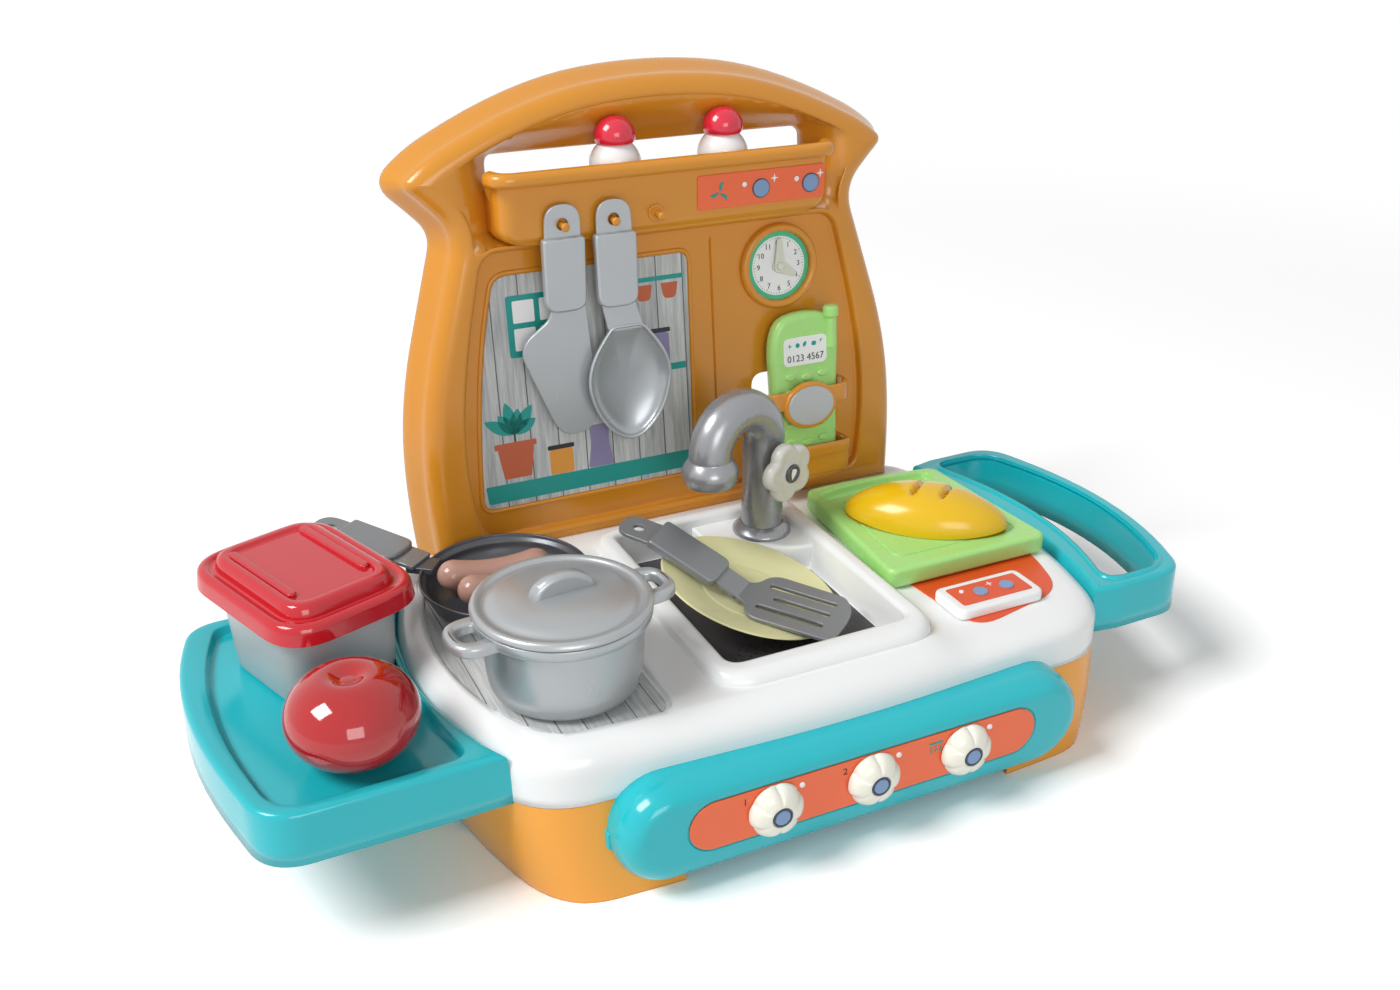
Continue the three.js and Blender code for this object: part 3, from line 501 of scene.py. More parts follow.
moulded.links.new(
    math_node(moulded, "ADD", moulded_in.outputs["Roughness"], polish), moulded_out.inputs["Roughness"])
grain = math_node(moulded, "MULTIPLY", fine.outputs["Fac"], moulded_in.outputs["Grain"])
sink_marks = math_node(moulded, "MULTIPLY", waves.outputs["Fac"], 0.12)
moulded.links.new(math_node(moulded, "ADD", grain, sink_marks), moulded_out.inputs["Height"])


# %% A plastic, a lacquer or a printed colour from the group
def plastic(name, code, roughness=0.25, variation=0.04, grain=0.0, bump=0.02, coat=0.0, metallic=0.0):
    """A material whose colour, polish and waviness come from the moulded-plastic group."""
    made = bpy.data.materials.new(name)
    made.use_nodes = True
    tree = made.node_tree
    shader = tree.nodes["Principled BSDF"]
    shader.inputs["Metallic"].default_value = metallic
    shader.inputs["Coat Weight"].default_value = coat
    shader.inputs["Coat Roughness"].default_value = 0.04
    place = tree.nodes.new("ShaderNodeTexCoord")
    group = tree.nodes.new("ShaderNodeGroup")
    group.node_tree = moulded
    group.inputs["Colour"].default_value = linear(code)
    group.inputs["Roughness"].default_value = roughness
    group.inputs["Variation"].default_value = variation
    group.inputs["Grain"].default_value = grain
    relief = node(tree, "ShaderNodeBump", Strength=bump, Distance=0.001)
    tree.links.new(place.outputs["Object"], group.inputs["Vector"])
    tree.links.new(group.outputs["Colour"], shader.inputs["Base Color"])
    tree.links.new(group.outputs["Roughness"], shader.inputs["Roughness"])
    tree.links.new(group.outputs["Height"], relief.inputs["Height"])
    tree.links.new(relief.outputs["Normal"], shader.inputs["Normal"])
    return made


# %% The finishes of the plastics, the lacquers and the inks
ORANGE = plastic("orange plastic", "F5A63A", roughness=0.18, bump=0.02)
# The back panel is the same orange plastic as the base. Its darker copy here is painted shade, standing in
# for the shade that the panel sits in.
SHADED_PANEL_ORANGE = plastic("orange plastic darkened for painted shade on the back panel", "DA9129", roughness=0.18, bump=0.02)
WHITE = plastic("white plastic", "F3F5F5", roughness=0.16, variation=0.01)
TURQUOISE = plastic("turquoise plastic", "1EBCC7", roughness=0.15)
LABEL_RED = plastic("printed orange red", "F46E40", roughness=0.34, grain=0.3)
LABEL_DEEP = plastic("printed deep orange", "E4511C", roughness=0.36, grain=0.3)
IVORY = plastic("ivory plastic", "F3F2E4", roughness=0.22, variation=0.02)
CREAM = plastic("cream plastic", "D6D4CB", roughness=0.3, variation=0.02)
BUTTON_BLUE = plastic("button blue", "7F9CC6", roughness=0.35)
DARK_LINE = plastic("dark rim", "3A4658", roughness=0.4)
TAP_GREY = plastic("tap grey lacquer", "9A9C9F", roughness=0.27, metallic=0.55, bump=0.01)
TOOL_GREY = plastic("tool grey lacquer", "85888B", roughness=0.33, metallic=0.4, bump=0.01)
SILVER = plastic("silver lacquer", "B2B7BA", roughness=0.3, metallic=0.4, bump=0.01)
POT_SILVER = plastic("pot lacquer", "B0B4B6", roughness=0.3, metallic=0.45, bump=0.01)
PAN_DARK = plastic("pan grey", "55575C", roughness=0.3, metallic=0.35, bump=0.01)
BOX_GREY = plastic("box grey plastic", "B4B6B7", roughness=0.3)
LID_RED = plastic("lid red plastic", "CC1A28", roughness=0.12, coat=0.2)
TOMATO_RED = plastic("tomato red plastic", "B80009", roughness=0.09, coat=0.6)
CAP_RED = plastic("cap red plastic", "DE2440", roughness=0.14, coat=0.3)
GREEN = plastic("light green plastic", "ABE485", roughness=0.28)
BREAD_YELLOW = plastic("bread yellow plastic", "EABC12", roughness=0.2, variation=0.12)
PLATE_CREAM = plastic("plate cream plastic", "E2E0AC", roughness=0.3)
SAUSAGE_PINK = plastic("sausage plastic", "BC9282", roughness=0.2, variation=0.1)
PICTURE_TEAL = plastic("printed teal", "12978F", roughness=0.45, grain=0.4)
TERRACOTTA = plastic("printed terracotta", "C2603A", roughness=0.45, grain=0.4)
PRINT_VIOLET = plastic("printed violet", "8E86AE", roughness=0.45, grain=0.4)
PRINT_BLACK = plastic("printed black", "17181B", roughness=0.45)
PRINT_WHITE = plastic("printed white", "F4F6F7", roughness=0.4)
CLOCK_GREEN = plastic("clock ring green", "46BE8C", roughness=0.35)
HAND_CREAM = plastic("clock hand cream", "DDE0D0", roughness=0.35)
SINK_DARK = plastic("printed dark grey", "48464A", roughness=0.5, grain=0.6)
STEEL = plastic("plain steel", "8A8D90", roughness=0.35, metallic=0.9)
print("finishes:", len(bpy.data.materials))

# %% [markdown]
# The two printed stickers show whitewashed boards. Each board is a strip of the object coordinates: the
# strip's number picks its shade, a stretched noise draws the grain along it, and a dark line is left where
# two boards meet. The board strips run along one axis of the kitchen, so a rotation in a Mapping node can
# point them up the wall or from front to back.

# %% The printed-boards node group and its two materials
boards, boards_in, boards_out = new_group(
    "Printed boards",
    [("Vector", VECTOR, None), ("Board width", FLOAT, 0.02), ("Light", COLOUR, linear("E2E5E4")),
     ("Dark", COLOUR, linear("A9AEAE"))],
    [("Colour", COLOUR, None), ("Height", FLOAT, None)],
)
axes = node(boards, "ShaderNodeSeparateXYZ")
boards.links.new(boards_in.outputs["Vector"], axes.inputs[0])
across = math_node(boards, "DIVIDE", axes.outputs["X"], boards_in.outputs["Board width"])
number = math_node(boards, "FLOOR", across, 0.0)
within = math_node(boards, "FRACT", across, 0.0)
shade = node(boards, "ShaderNodeTexWhiteNoise", noise_dimensions="1D")
boards.links.new(number, shade.inputs["W"])
stretch = node(boards, "ShaderNodeMapping")
stretch.inputs["Scale"].default_value = (420.0, 22.0, 22.0)
boards.links.new(boards_in.outputs["Vector"], stretch.inputs["Vector"])
fibres = node(boards, "ShaderNodeTexNoise", noise_dimensions="4D", Scale=1.0, Detail=6.0, Roughness=0.7)
boards.links.new(stretch.outputs[0], fibres.inputs["Vector"])
boards.links.new(math_node(boards, "MULTIPLY", number, 3.7), fibres.inputs["W"])
streaks = node(boards, "ShaderNodeMapRange")
for label, value in (("From Min", 0.36), ("From Max", 0.66), ("To Min", 0.0), ("To Max", 1.0)):
    streaks.inputs[label].default_value = value
boards.links.new(fibres.outputs["Fac"], streaks.inputs["Value"])
wear = math_node(boards, "ADD", math_node(boards, "MULTIPLY", streaks.outputs[0], 0.75),
                 math_node(boards, "MULTIPLY", shade.outputs["Value"], 0.3))
board_mix = node(boards, "ShaderNodeMix", data_type="RGBA")
boards.links.new(wear, board_mix.inputs["Factor"])
boards.links.new(boards_in.outputs["Light"], board_mix.inputs["A"])
boards.links.new(boards_in.outputs["Dark"], board_mix.inputs["B"])
from_middle = math_node(boards, "ABSOLUTE", math_node(boards, "SUBTRACT", within, 0.5), 0.0)
joint = math_node(boards, "GREATER_THAN", from_middle, 0.478)
joint_mix = node(boards, "ShaderNodeMix", data_type="RGBA")
joint_mix.inputs["B"].default_value = linear("5C6062")
boards.links.new(joint, joint_mix.inputs["Factor"])
boards.links.new(board_mix.outputs["Result"], joint_mix.inputs["A"])
boards.links.new(joint_mix.outputs["Result"], boards_out.inputs["Colour"])
boards.links.new(math_node(boards, "SUBTRACT", 1.0, joint), boards_out.inputs["Height"])


# %% A sticker with boards
def printed_boards(name, width, turn=(0.0, 0.0, 0.0), light="E2E5E4", dark="A4A9A9"):
    """A sticker printed with boards of one width, pointed by a turn in radians."""
    made = bpy.data.materials.new(name)
    made.use_nodes = True
    tree = made.node_tree
    shader = tree.nodes["Principled BSDF"]
    shader.inputs["Roughness"].default_value = 0.42
    place = tree.nodes.new("ShaderNodeTexCoord")
    point = node(tree, "ShaderNodeMapping")
    point.inputs["Rotation"].default_value = turn
    group = tree.nodes.new("ShaderNodeGroup")
    group.node_tree = boards
    group.inputs["Board width"].default_value = width
    group.inputs["Light"].default_value = linear(light)
    group.inputs["Dark"].default_value = linear(dark)
    relief = node(tree, "ShaderNodeBump", Strength=0.1, Distance=0.0003)
    tree.links.new(place.outputs["Object"], point.inputs["Vector"])
    tree.links.new(point.outputs[0], group.inputs["Vector"])
    tree.links.new(group.outputs["Colour"], shader.inputs["Base Color"])
    tree.links.new(group.outputs["Height"], relief.inputs["Height"])
    tree.links.new(relief.outputs["Normal"], shader.inputs["Normal"])
    return made


HOB_BOARDS = printed_boards("printed hob boards", 0.0135)
WALL_BOARDS = printed_boards("printed wall boards", 0.0185, (math.radians(90), 0.0, 0.0), "DADDDC", "8F9697")

# %% [markdown]
# The stage: a pale floor, a large soft lamp high on the left for shape, a weaker one from the front for the
# faces, and an even world. The camera sees the world as plain white. The floor that it sees fades to plain
# white between 0.8 m and 1.8 m from the middle, so it runs out into the background but keeps the shadow.

# %% Camera
CAMERA_AT = (-344.74, -662.10, 506.87)
CAMERA_TURN = (64.106, 0.0, -25.543)
CAMERA_LENS = 34.908
camera = bpy.data.objects.new("camera", bpy.data.cameras.new("camera"))
bpy.context.scene.collection.objects.link(camera)
camera.location = (np.array(CAMERA_AT) + SHIFT) * MM
camera.rotation_euler = [math.radians(angle) for angle in CAMERA_TURN]
camera.data.lens = CAMERA_LENS
camera.data.sensor_width = 36.0
bpy.context.scene.camera = camera
bpy.context.scene.view_settings.view_transform = "Standard"
print("camera at, m:", [round(value, 3) for value in camera.location])

# %% Lamps
LAMP_AIM = (0.0, 0.0, 0.1)
LAMP_SIZE = 2.6


def soft_lamp(name, at, power):
    """A square area lamp at a point, turned towards the kitchen."""
    data = bpy.data.lights.new(name, "AREA")
    data.size, data.energy = LAMP_SIZE, power
    made = bpy.data.objects.new(name, data)
    bpy.context.scene.collection.objects.link(made)
    made.location = at
    from_to = [b - a for a, b in zip(at, LAMP_AIM)]
    aim = Vector(from_to)
    made.rotation_euler = aim.to_track_quat("-Z", "Y").to_euler()
    print(f"lamp {name}: {power} W")


soft_lamp("key", (-4.2, 0.1, 4.9), 312.0)
soft_lamp("front", (-0.9, -5.4, 1.9), 84.0)

# %% World
WORLD_LEVEL = 0.30
world = bpy.data.worlds.new("world")
bpy.context.scene.world = world
world.use_nodes = True
air = world.node_tree
background = air.nodes["Background"]
background.inputs["Color"].default_value = (1, 1, 1, 1)
ray = air.nodes.new("ShaderNodeLightPath")
seen = math_node(air, "MAXIMUM", ray.outputs["Is Camera Ray"], ray.outputs["Is Glossy Ray"])
seen = math_node(air, "MAXIMUM", seen, ray.outputs["Is Transmission Ray"])
added = math_node(air, "MULTIPLY", seen, 1.0 - WORLD_LEVEL)
air.links.new(math_node(air, "ADD", added, WORLD_LEVEL), background.inputs["Strength"])

# %% The floor's material
FADE_START, FADE_END = 0.8, 1.8
FLOOR_LIT, FLOOR_SEEN = 0.8, 1.25
paper = bpy.data.materials.new("floor")
paper.use_nodes = True
tree = paper.node_tree
matt = tree.nodes["Principled BSDF"]
matt.inputs["Roughness"].default_value = 0.9
matt.inputs["Specular IOR Level"].default_value = 0.1
ray = tree.nodes.new("ShaderNodeLightPath")
seen = math_node(tree, "MAXIMUM", ray.outputs["Is Camera Ray"], ray.outputs["Is Glossy Ray"])
tone = node(tree, "ShaderNodeMix", data_type="RGBA")
for socket, value in (("A", FLOOR_LIT), ("B", FLOOR_SEEN)):
    tone.inputs[socket].default_value = (value, value, value, 1)
tree.links.new(seen, tone.inputs["Factor"])
tree.links.new(tone.outputs["Result"], matt.inputs["Base Color"])
place = tree.nodes.new("ShaderNodeTexCoord")
distance = node(tree, "ShaderNodeVectorMath", operation="LENGTH")
tree.links.new(place.outputs["Object"], distance.inputs[0])
fade = node(tree, "ShaderNodeMapRange", interpolation_type="SMOOTHSTEP")
for label, value in (("From Min", FADE_START), ("From Max", FADE_END), ("To Min", 0.0), ("To Max", 1.0)):
    fade.inputs[label].default_value = value
tree.links.new(distance.outputs["Value"], fade.inputs["Value"])
white = tree.nodes.new("ShaderNodeEmission")
mix = tree.nodes.new("ShaderNodeMixShader")
tree.links.new(math_node(tree, "MULTIPLY", seen, fade.outputs["Result"]), mix.inputs[0])
tree.links.new(matt.outputs[0], mix.inputs[1])
tree.links.new(white.outputs[0], mix.inputs[2])
tree.links.new(mix.outputs[0], tree.nodes["Material Output"].inputs["Surface"])

# %% The floor
FLOOR_HALF = 12.0
floor_mesh = bpy.data.meshes.new("floor")
floor_corners = [(x * FLOOR_HALF, y * FLOOR_HALF, 0) for x, y in ((-1, -1), (1, -1), (1, 1), (-1, 1))]
floor_mesh.from_pydata(floor_corners, [], [(0, 1, 2, 3)])
floor_mesh.materials.append(paper)
floor = bpy.data.objects.new("floor", floor_mesh)
bpy.context.scene.collection.objects.link(floor)
print("floor reaches, m:", FLOOR_HALF)

# %% [markdown]
# The body. The base is a tub that is narrower at its foot, while its front comes forward there. Its lower
# edge arches up between the feet. It is one wall of rows from the foot to the top: row t has height
# (1 - t) * foot + t * top, and the outline's points move with their height.

# %% Plan of the body and the base tub
PARTING = 58.1


def body_plan(inset=0.0):
    """Plan of the body, with its sides bulging out. inset moves it inwards."""
    return outline([
        (186, 120, 30), (-186, 120, 30), (-228, -18, 78), (-185, -132, 34), (-111.8, -136), (-111.2, -136),
        (0, -142, 60), (111.2, -136), (111.8, -136), (185, -132, 34), (216, -18, 78),
    ], arc=9, side=6, out=-inset)


FOOT_LIMIT = 111.5
ARCH = 11.0


def base_tub():
    """Rows between the foot line and the top, moved in at the sides by 5% of x and forward at the front by
    10 mm, both growing with the square of the depth below the top and with the depth itself."""
    plan = body_plan()
    front = (np.abs(plan[:, 0]) < FOOT_LIMIT) & (np.abs(plan[:, 1]) > 60)
    side = 1 - smooth_step(42, 50, np.abs(plan[:, 1] + 2))
    lowest = np.maximum(ARCH * front, ARCH * side * (np.abs(plan[:, 0]) > 150))
    share = np.concatenate([[0.0], np.linspace(0.03, 1, 12)])[:, None]
    z = lowest * (1 - share) + PARTING * share
    down = 1 - z / PARTING
    forward = np.clip((-60 - plan[:, 1]) / 70, 0, 1)
    rows = np.stack([plan[:, 0] * (1 - 0.05 * down**2), plan[:, 1] - 10 * down * forward, z], -1)
    skin = Skin().wall(rows)
    return skin.cap([plan], PARTING)


piece("base", base_tub(), KITCHEN, ORANGE, ["base_tub"], sharp=40, wall=3.0)

# %% [markdown]
# The worktop is one moulding: a wide rounded shoulder, a sunken hob on the left, a raised sink rim in the
# middle and a lower place for the board on the right. Its top is a height field, and the hob and the sink
# are holes in it with walls of their own. The tap's ledge is a second body that fills the sink's corner.

# %% The worktop's levels
TOP, RIGHT_TOP, RIM_TOP, SINK_FLOOR, HOB_FLOOR = 92.6, 87.9, 99.5, 76.2, 89.8
SHOULDER, SIDE_TOP = 17.0, 76.0


def top_level(x, y):
    """Height of the top: the left level, falling to the right level behind and beside the sink."""
    return TOP - (TOP - RIGHT_TOP) * smooth_step(58, 84, x)


def shoulder_rows(plan_of):
    """Rows over the shoulder, a quarter ellipse from the level top down to the side, then the side itself."""
    rows = []
    for angle in np.linspace(0, np.pi / 2, 9):
        loop = plan_of(SHOULDER * (1 - np.sin(angle)))
        top = top_level(*loop.T)
        rows.append(np.column_stack([loop, top - (top - SIDE_TOP) * (1 - np.cos(angle))]))
    fall = SIDE_TOP - (PARTING + 0.5)
    return rows + [level(plan_of(-0.3 * share), SIDE_TOP - fall * share) for share in (0.3, 0.7, 1.0)]


# %% The worktop's holes and its skin
SINK_X, SINK_FRONT, SINK_BACK = 58.5, -101.0, 66.0
SINK_MIDDLE = (SINK_FRONT + SINK_BACK) / 2


def sink_loop(out, reach, out_back=None):
    """Outline of the sink moved outwards by out, or by out_back at the back."""
    back = SINK_BACK + (out if out_back is None else out_back)
    a, front = SINK_X + out, SINK_FRONT - out * 1.35
    return outline([(-a, front, reach), (a, front, reach), (a, back, reach * 0.8), (-a, back, reach * 0.8)],
                   arc=9, side=5)


def worktop():
    """Shoulder, top with its holes, hob recess, sink rim and basin."""
    skin = Skin().wall(shoulder_rows(body_plan))
    hob = outline([(-97.6, -120.5, 14), (-97.6, 83, 10), (-186, 83, 16), (-209.5, -42, 68),
                   (-164, -120.5, 24)], arc=9, side=5)
    fall = top_level(*hob.T) - HOB_FLOOR
    hob_rows = [np.column_stack([grow(hob, -inset), top_level(*hob.T) - share * fall])
                for inset, share in ((0, 0), (0.25, 0.12), (0.7, 0.4), (0.9, 0.75), (1.3, 0.95), (2.2, 1.0))]
    skin.wall(hob_rows)
    skin.cap([hob_rows[-1][:, :2]], HOB_FLOOR)
    outer, inner = sink_loop(13.5, 26, 11.0), sink_loop(0, 9)
    rows = []
    outside = [(0.5 * (1 - math.cos(angle)), math.sin(angle)) for angle in np.linspace(0, np.pi / 2, 9)]
    crown = [(share, 1 - 0.35 * max(0.0, (share - 0.72) / 0.28) ** 2.2)
             for share in (0.6, 0.72, 0.8, 0.88, 0.94, 1)]
    for share, rise in outside + crown:
        loop = outer * (1 - share) + inner * share
        ground = top_level(*loop.T)
        rows.append(np.column_stack([loop, ground + (RIM_TOP - ground) * rise]))
    wall_top = rows[-1][:, 2].mean()
    basin = sink_loop(-2.0, 8)
    for share in (0.06, 0.5, 0.9):
        height = wall_top + (SINK_FLOOR + 1 - wall_top) * share
        rows.append(level(inner * (1 - share) + basin * share, height))
    rows.append(level(grow(basin, -0.8), SINK_FLOOR + 0.2))
    rows.append(level(grow(basin, -2.0), SINK_FLOOR))
    skin.wall(rows)
    skin.cap([grow(basin, -2.0)], SINK_FLOOR)
    return skin.cap([body_plan(SHOULDER), hob, outer], top_level, spacing=9.0)


piece("worktop", worktop(), KITCHEN, WHITE, ["worktop"], sharp=60, wall=2.2)

# %% [markdown]
# The tap's ledge is the shelf in the sink's corner that carries the tap. On the real toy it belongs to the
# worktop's moulding. Here it is a block of its own, because its outline then needs no place in the basin's
# rows, and the line where the two meet lies in the corner and isn't seen.

# %% The tap's ledge
def tap_ledge():
    """A block with a rounded edge in the sink's back corner."""
    plan = outline([(60.2, 68), (-3.2, 68), (-3.2, 50, 7), (8, 44.5, 5), (25, 27.5, 12), (45, 11.5, 10),
                    (60.2, 10.2, 3)], arc=7, side=3)
    return plate(plan, SINK_FLOOR - 0.3, 92.3, edge=2.0, steps=5)


piece("tap_ledge", tap_ledge(), KITCHEN, WHITE, sharp=50)

# %% [markdown]
# Stickers are thin sheets with their own outlines. The hob's is printed with whitewashed boards, and the
# scale's is a deep orange ground for a small white panel with two blue buttons. The sink's is dark grey with
# a drain of black dots on a spiral: dot k lies at angle 2.4 k and distance sqrt(k / 90), which spreads the
# dots evenly over the whole drain without a list of places.

# %% Stickers on the worktop
def sticker(name, plan, ground, material, node_name, thick=0.7, place=None):
    """A printed sheet just above the ground it is stuck to."""
    sheet = plate(plan, ground + 0.05, ground + thick, edge=0.2, steps=1)
    return piece(name, sheet, KITCHEN, material, [node_name], place=place)


hob_plan = outline([(-100.4, -117.6, 13), (-100.4, 80.4, 8), (-183.8, 80.4, 15), (-206.4, -42, 66),
                    (-162, -117.6, 22)], arc=9)
sticker("hob_print", hob_plan, HOB_FLOOR, HOB_BOARDS, "hob_sticker")
sink_plan = outline([(-54.6, -97.4, 8), (54.6, -97.4, 8), (54.6, 8, 4), (42, 9, 8), (22, 24, 12), (5, 41, 6),
                     (-7, 47, 4), (-7, 62, 2), (-54.6, 62, 8)])
sticker("sink_print", sink_plan, SINK_FLOOR, SINK_DARK, "sink_sticker", 0.6)

# %% The drain's dots
DRAIN_DOTS, DRAIN_WIDE, DRAIN_DEEP = 90, 30.0, 13.0
drain = Skin()
for k in range(1, DRAIN_DOTS):
    out, turn = math.sqrt(k / DRAIN_DOTS), 2.4 * k
    x, y = -16 + DRAIN_WIDE * out * math.cos(turn), -70 + DRAIN_DEEP * out * math.sin(turn)
    dot = ring(0.55 + 0.25 * math.cos(7 * k), x, y, count=6)
    plate(dot, SINK_FLOOR + 0.55, SINK_FLOOR + 0.7, edge=0, skin=drain)
piece("sink_drain", drain, KITCHEN, PRINT_BLACK)

# %% The scale's sticker
scale_plan = outline([(84, 22, 4), (91, -62, 10), (97, -116, 19), (170, -100.5, 19), (182.5, -60, 14),
                      (186, 22, 4)])
sticker("scale_print", scale_plan, RIGHT_TOP, LABEL_DEEP, "scale_sticker")

# %% [markdown]
# The scale's buttons. A white panel with soft edges stands on the deep orange print, with a bright label
# sunk into its face. The pictures on the labels are thin raised shapes: a dot, a spark and round buttons.

# %% Small raised shapes for labels
def spark(size):
    """Outline of a four-pointed spark: the radius is large on the axes and small between them."""
    angle = np.linspace(0, 2 * np.pi, 8, endpoint=False)
    radius = np.where(np.arange(8) % 2 == 0, size, size * 0.28)
    return np.stack([radius * np.cos(angle), radius * np.sin(angle)], 1)


def button(radius, at, height=0.0):
    """A low round button with a rounded edge."""
    return plate(ring(radius, *at, count=36), height, height + 0.9, edge=0.5, steps=3)


SCALE_AT = middle("scale_panel")
SCALE_TOP = SCALE_AT[2] + 3.0
panel_outline = rounded_box(61.5, 30.5, 6, SCALE_AT[0], SCALE_AT[1])
piece("scale_panel", plate(panel_outline, RIGHT_TOP + 1.0, SCALE_TOP, edge=2.2, steps=6), KITCHEN, WHITE,
      ["scale_panel"], sharp=50)
label_outline = rounded_box(50.5, 20.5, 1.8, SCALE_AT[0], SCALE_AT[1])
piece("scale_label", plate(label_outline, SCALE_TOP + 0.02, SCALE_TOP + 0.35, edge=0.15, steps=1), KITCHEN,
      LABEL_DEEP, ["scale_label"])
for number, offset in enumerate((-6.5, 12.5)):
    spot = (SCALE_AT[0] + offset, SCALE_AT[1] - 0.3)
    piece(f"scale_button_{number + 1}", button(4.6, spot, SCALE_TOP + 0.3), KITCHEN, BUTTON_BLUE)
lamp_spot = (SCALE_AT[0] - 17.5, SCALE_AT[1] + 4.0)
piece("scale_light", button(1.5, lamp_spot, SCALE_TOP + 0.3), KITCHEN, PRINT_WHITE)
scale_spark = spark(2.6) + SCALE_AT[:2] + (3.6, 5.2)
piece("scale_spark", plate(scale_spark, SCALE_TOP + 0.3, SCALE_TOP + 0.55, edge=0), KITCHEN, PRINT_WHITE)

# %% [markdown]
# The control bezel is a long stadium with a broad rounding, hollow behind and set over the body's front. Its
# rows run from the back edge over the rounding to the flat face, and a shallow seat takes the label.

# %% Control bezel and its label
BEZEL_FACE, BEZEL_MIDDLE = 159.3, 39.2
FRONT = Place((0, 0, 0), FACING_FRONT)


def bezel():
    """Stadium rows: inset follows a quarter ellipse 13 wide and 15 deep, then the face, then the seat."""
    edge = stadium(147.6, 31, count=22, straight=16)
    shell = [(0.6, 112.0), (0.0, 128.0), (0.0, 144.0)]
    angle = np.linspace(0, np.pi / 2, 12)[1:]
    shell += [(13 * (1 - math.cos(a)), 144 + (BEZEL_FACE - 144) * math.sin(a)) for a in angle]
    rows = [level(grow(edge, -inset), out) + (0, BEZEL_MIDDLE + 0.27 * inset, 0) for inset, out in shell]
    seat = stadium(111.6, 16.4, count=22, straight=16)
    for inset, drop in ((0, 0), (0.5, 0.6), (0.7, 0.9)):
        rows.append(level(grow(seat, -inset), BEZEL_FACE - drop) + (0, KNOB_LINE, 0))
    return Skin().wall(rows).cap([rows[-1][:, :2]], BEZEL_FACE - 0.9)


KNOBS = [f"knob_{k}" for k in (1, 2, 3)]
KNOB_LINE = middle("knob_1")[2]
piece("bezel", bezel(), KITCHEN, TURQUOISE, ["control_bezel"], sharp=50, wall=2.5, place=FRONT)
control_label = plate(stadium(110.4, 15.2, count=22, straight=16) + (0, KNOB_LINE), BEZEL_FACE - 0.85,
                      BEZEL_FACE + 0.35, edge=0.5, steps=3)
piece("control_label", control_label, KITCHEN, LABEL_RED, ["control_label"], place=FRONT)
slot_tab = plate(rounded_box(4, 11, 1.6, -146.8, 37), 132, 141, edge=0.8)
piece("bezel_clip", slot_tab, KITCHEN, TURQUOISE, place=FRONT)

# %% [markdown]
# A knob is a dome with six flutes, so that small fingers can turn it. It is a turned profile whose radius is
# scaled by 1 - depth * (1 - |cos(3 angle)|)^2.2, and the flutes fade out towards the foot and the crown. A
# blue button with a dark rim sits in the crown.

# %% Knobs and the marks beside them
KNOB_PROFILE = soft_path([
    (4, -8.4), (4, 0.1), (14.8, 0.1, 0.4), (16.2, 0.9, 0.9), (16.1, 3.6, 2.4), (13.2, 7.5, 2.8),
    (8.2, 9.7, 1.4), (6.2, 9.9, 0.5), (5.9, 8.9, 0.3), (0, 8.9),
], arc=6)
RIM_PROFILE = soft_path([(4.6, 8.95), (5.75, 8.95), (5.75, 9.9, 0.3), (4.9, 9.9, 0.2), (4.6, 8.95)], arc=3)
BUTTON_PROFILE = soft_path([(0, 8.95), (4.55, 8.95), (4.5, 9.95, 0.4), (0, 10.1)], arc=4)
LIGHT_PROFILE = soft_path([(0, 0), (1.7, 0), (1.5, 0.9, 0.4), (0, 1.1)], arc=4)


def knob_flutes(angle, radius, height):
    """Scale of the radius: 1 - 0.13 * (1 - |cos(3 angle)|)^2.2 where the dome is neither foot nor crown."""
    depth = 0.13 * smooth_step(-0.5, 2.5, height) * smooth_step(6.4, 9.5, radius)
    return 1 - depth * (1 - np.abs(np.cos(3 * angle))) ** 2.2


def face_place(at):
    """A place on the label, with z pointing to the front."""
    return Place((at[0], -BEZEL_FACE - 0.35, at[1]), FACING_FRONT)


for name in KNOBS:
    at = middle(name)[[0, 2]]
    body, place = f"{name}_body", face_place(at)
    knob = lathe(KNOB_PROFILE, count=96, swell=knob_flutes)
    knob.cap([ring(4, count=96)], -8.4)
    piece(name, knob, body, IVORY, [name], sharp=60, place=place)
    piece(f"{name}_rim", lathe(RIM_PROFILE, 48), body, DARK_LINE, place=place)
    piece(f"{name}_button", lathe(BUTTON_PROFILE, 48), body, BUTTON_BLUE, [name.replace("knob", "knob_cap")],
          place=place)
    piece(f"{name}_light", lathe(LIGHT_PROFILE, 24), KITCHEN, PRINT_WHITE,
          place=face_place(at + (16.5, 9.5)))

# %% [markdown]
# Behind the bezel a snap clip holds each knob's spindle. It is a washer whose bore is a hole in a plate, and
# its thickness is read from the frame, so it fits the space that the model leaves for it.

# %% Clips behind the bezel
for name in KNOBS:
    clip = name.replace("knob", "knob_clip")
    low, high = span(clip)
    bore = ring(4.5, count=40)
    washer = plate(ring(8, count=40), 0, high[1] - low[1], edge=0.4, under=0.4, holes=[bore])
    at = (low + high) / 2 - SHIFT
    place = Place((at[0], high[1] - SHIFT[1], at[2]), FACING_FRONT)
    piece(clip.replace("knob_clip", "clip"), washer, KITCHEN, STEEL, [clip], place=place)


# %% [markdown]
# Numbers and signs stand beside the knobs. Characters come from the built-in typeface, as a text curve that
# is turned into a mesh, which is quicker and truer than drawing them. The grill's sign is a bar with three
# waves under it, and a wave is a strip round the line x = 0.55 sin(2.4 t).

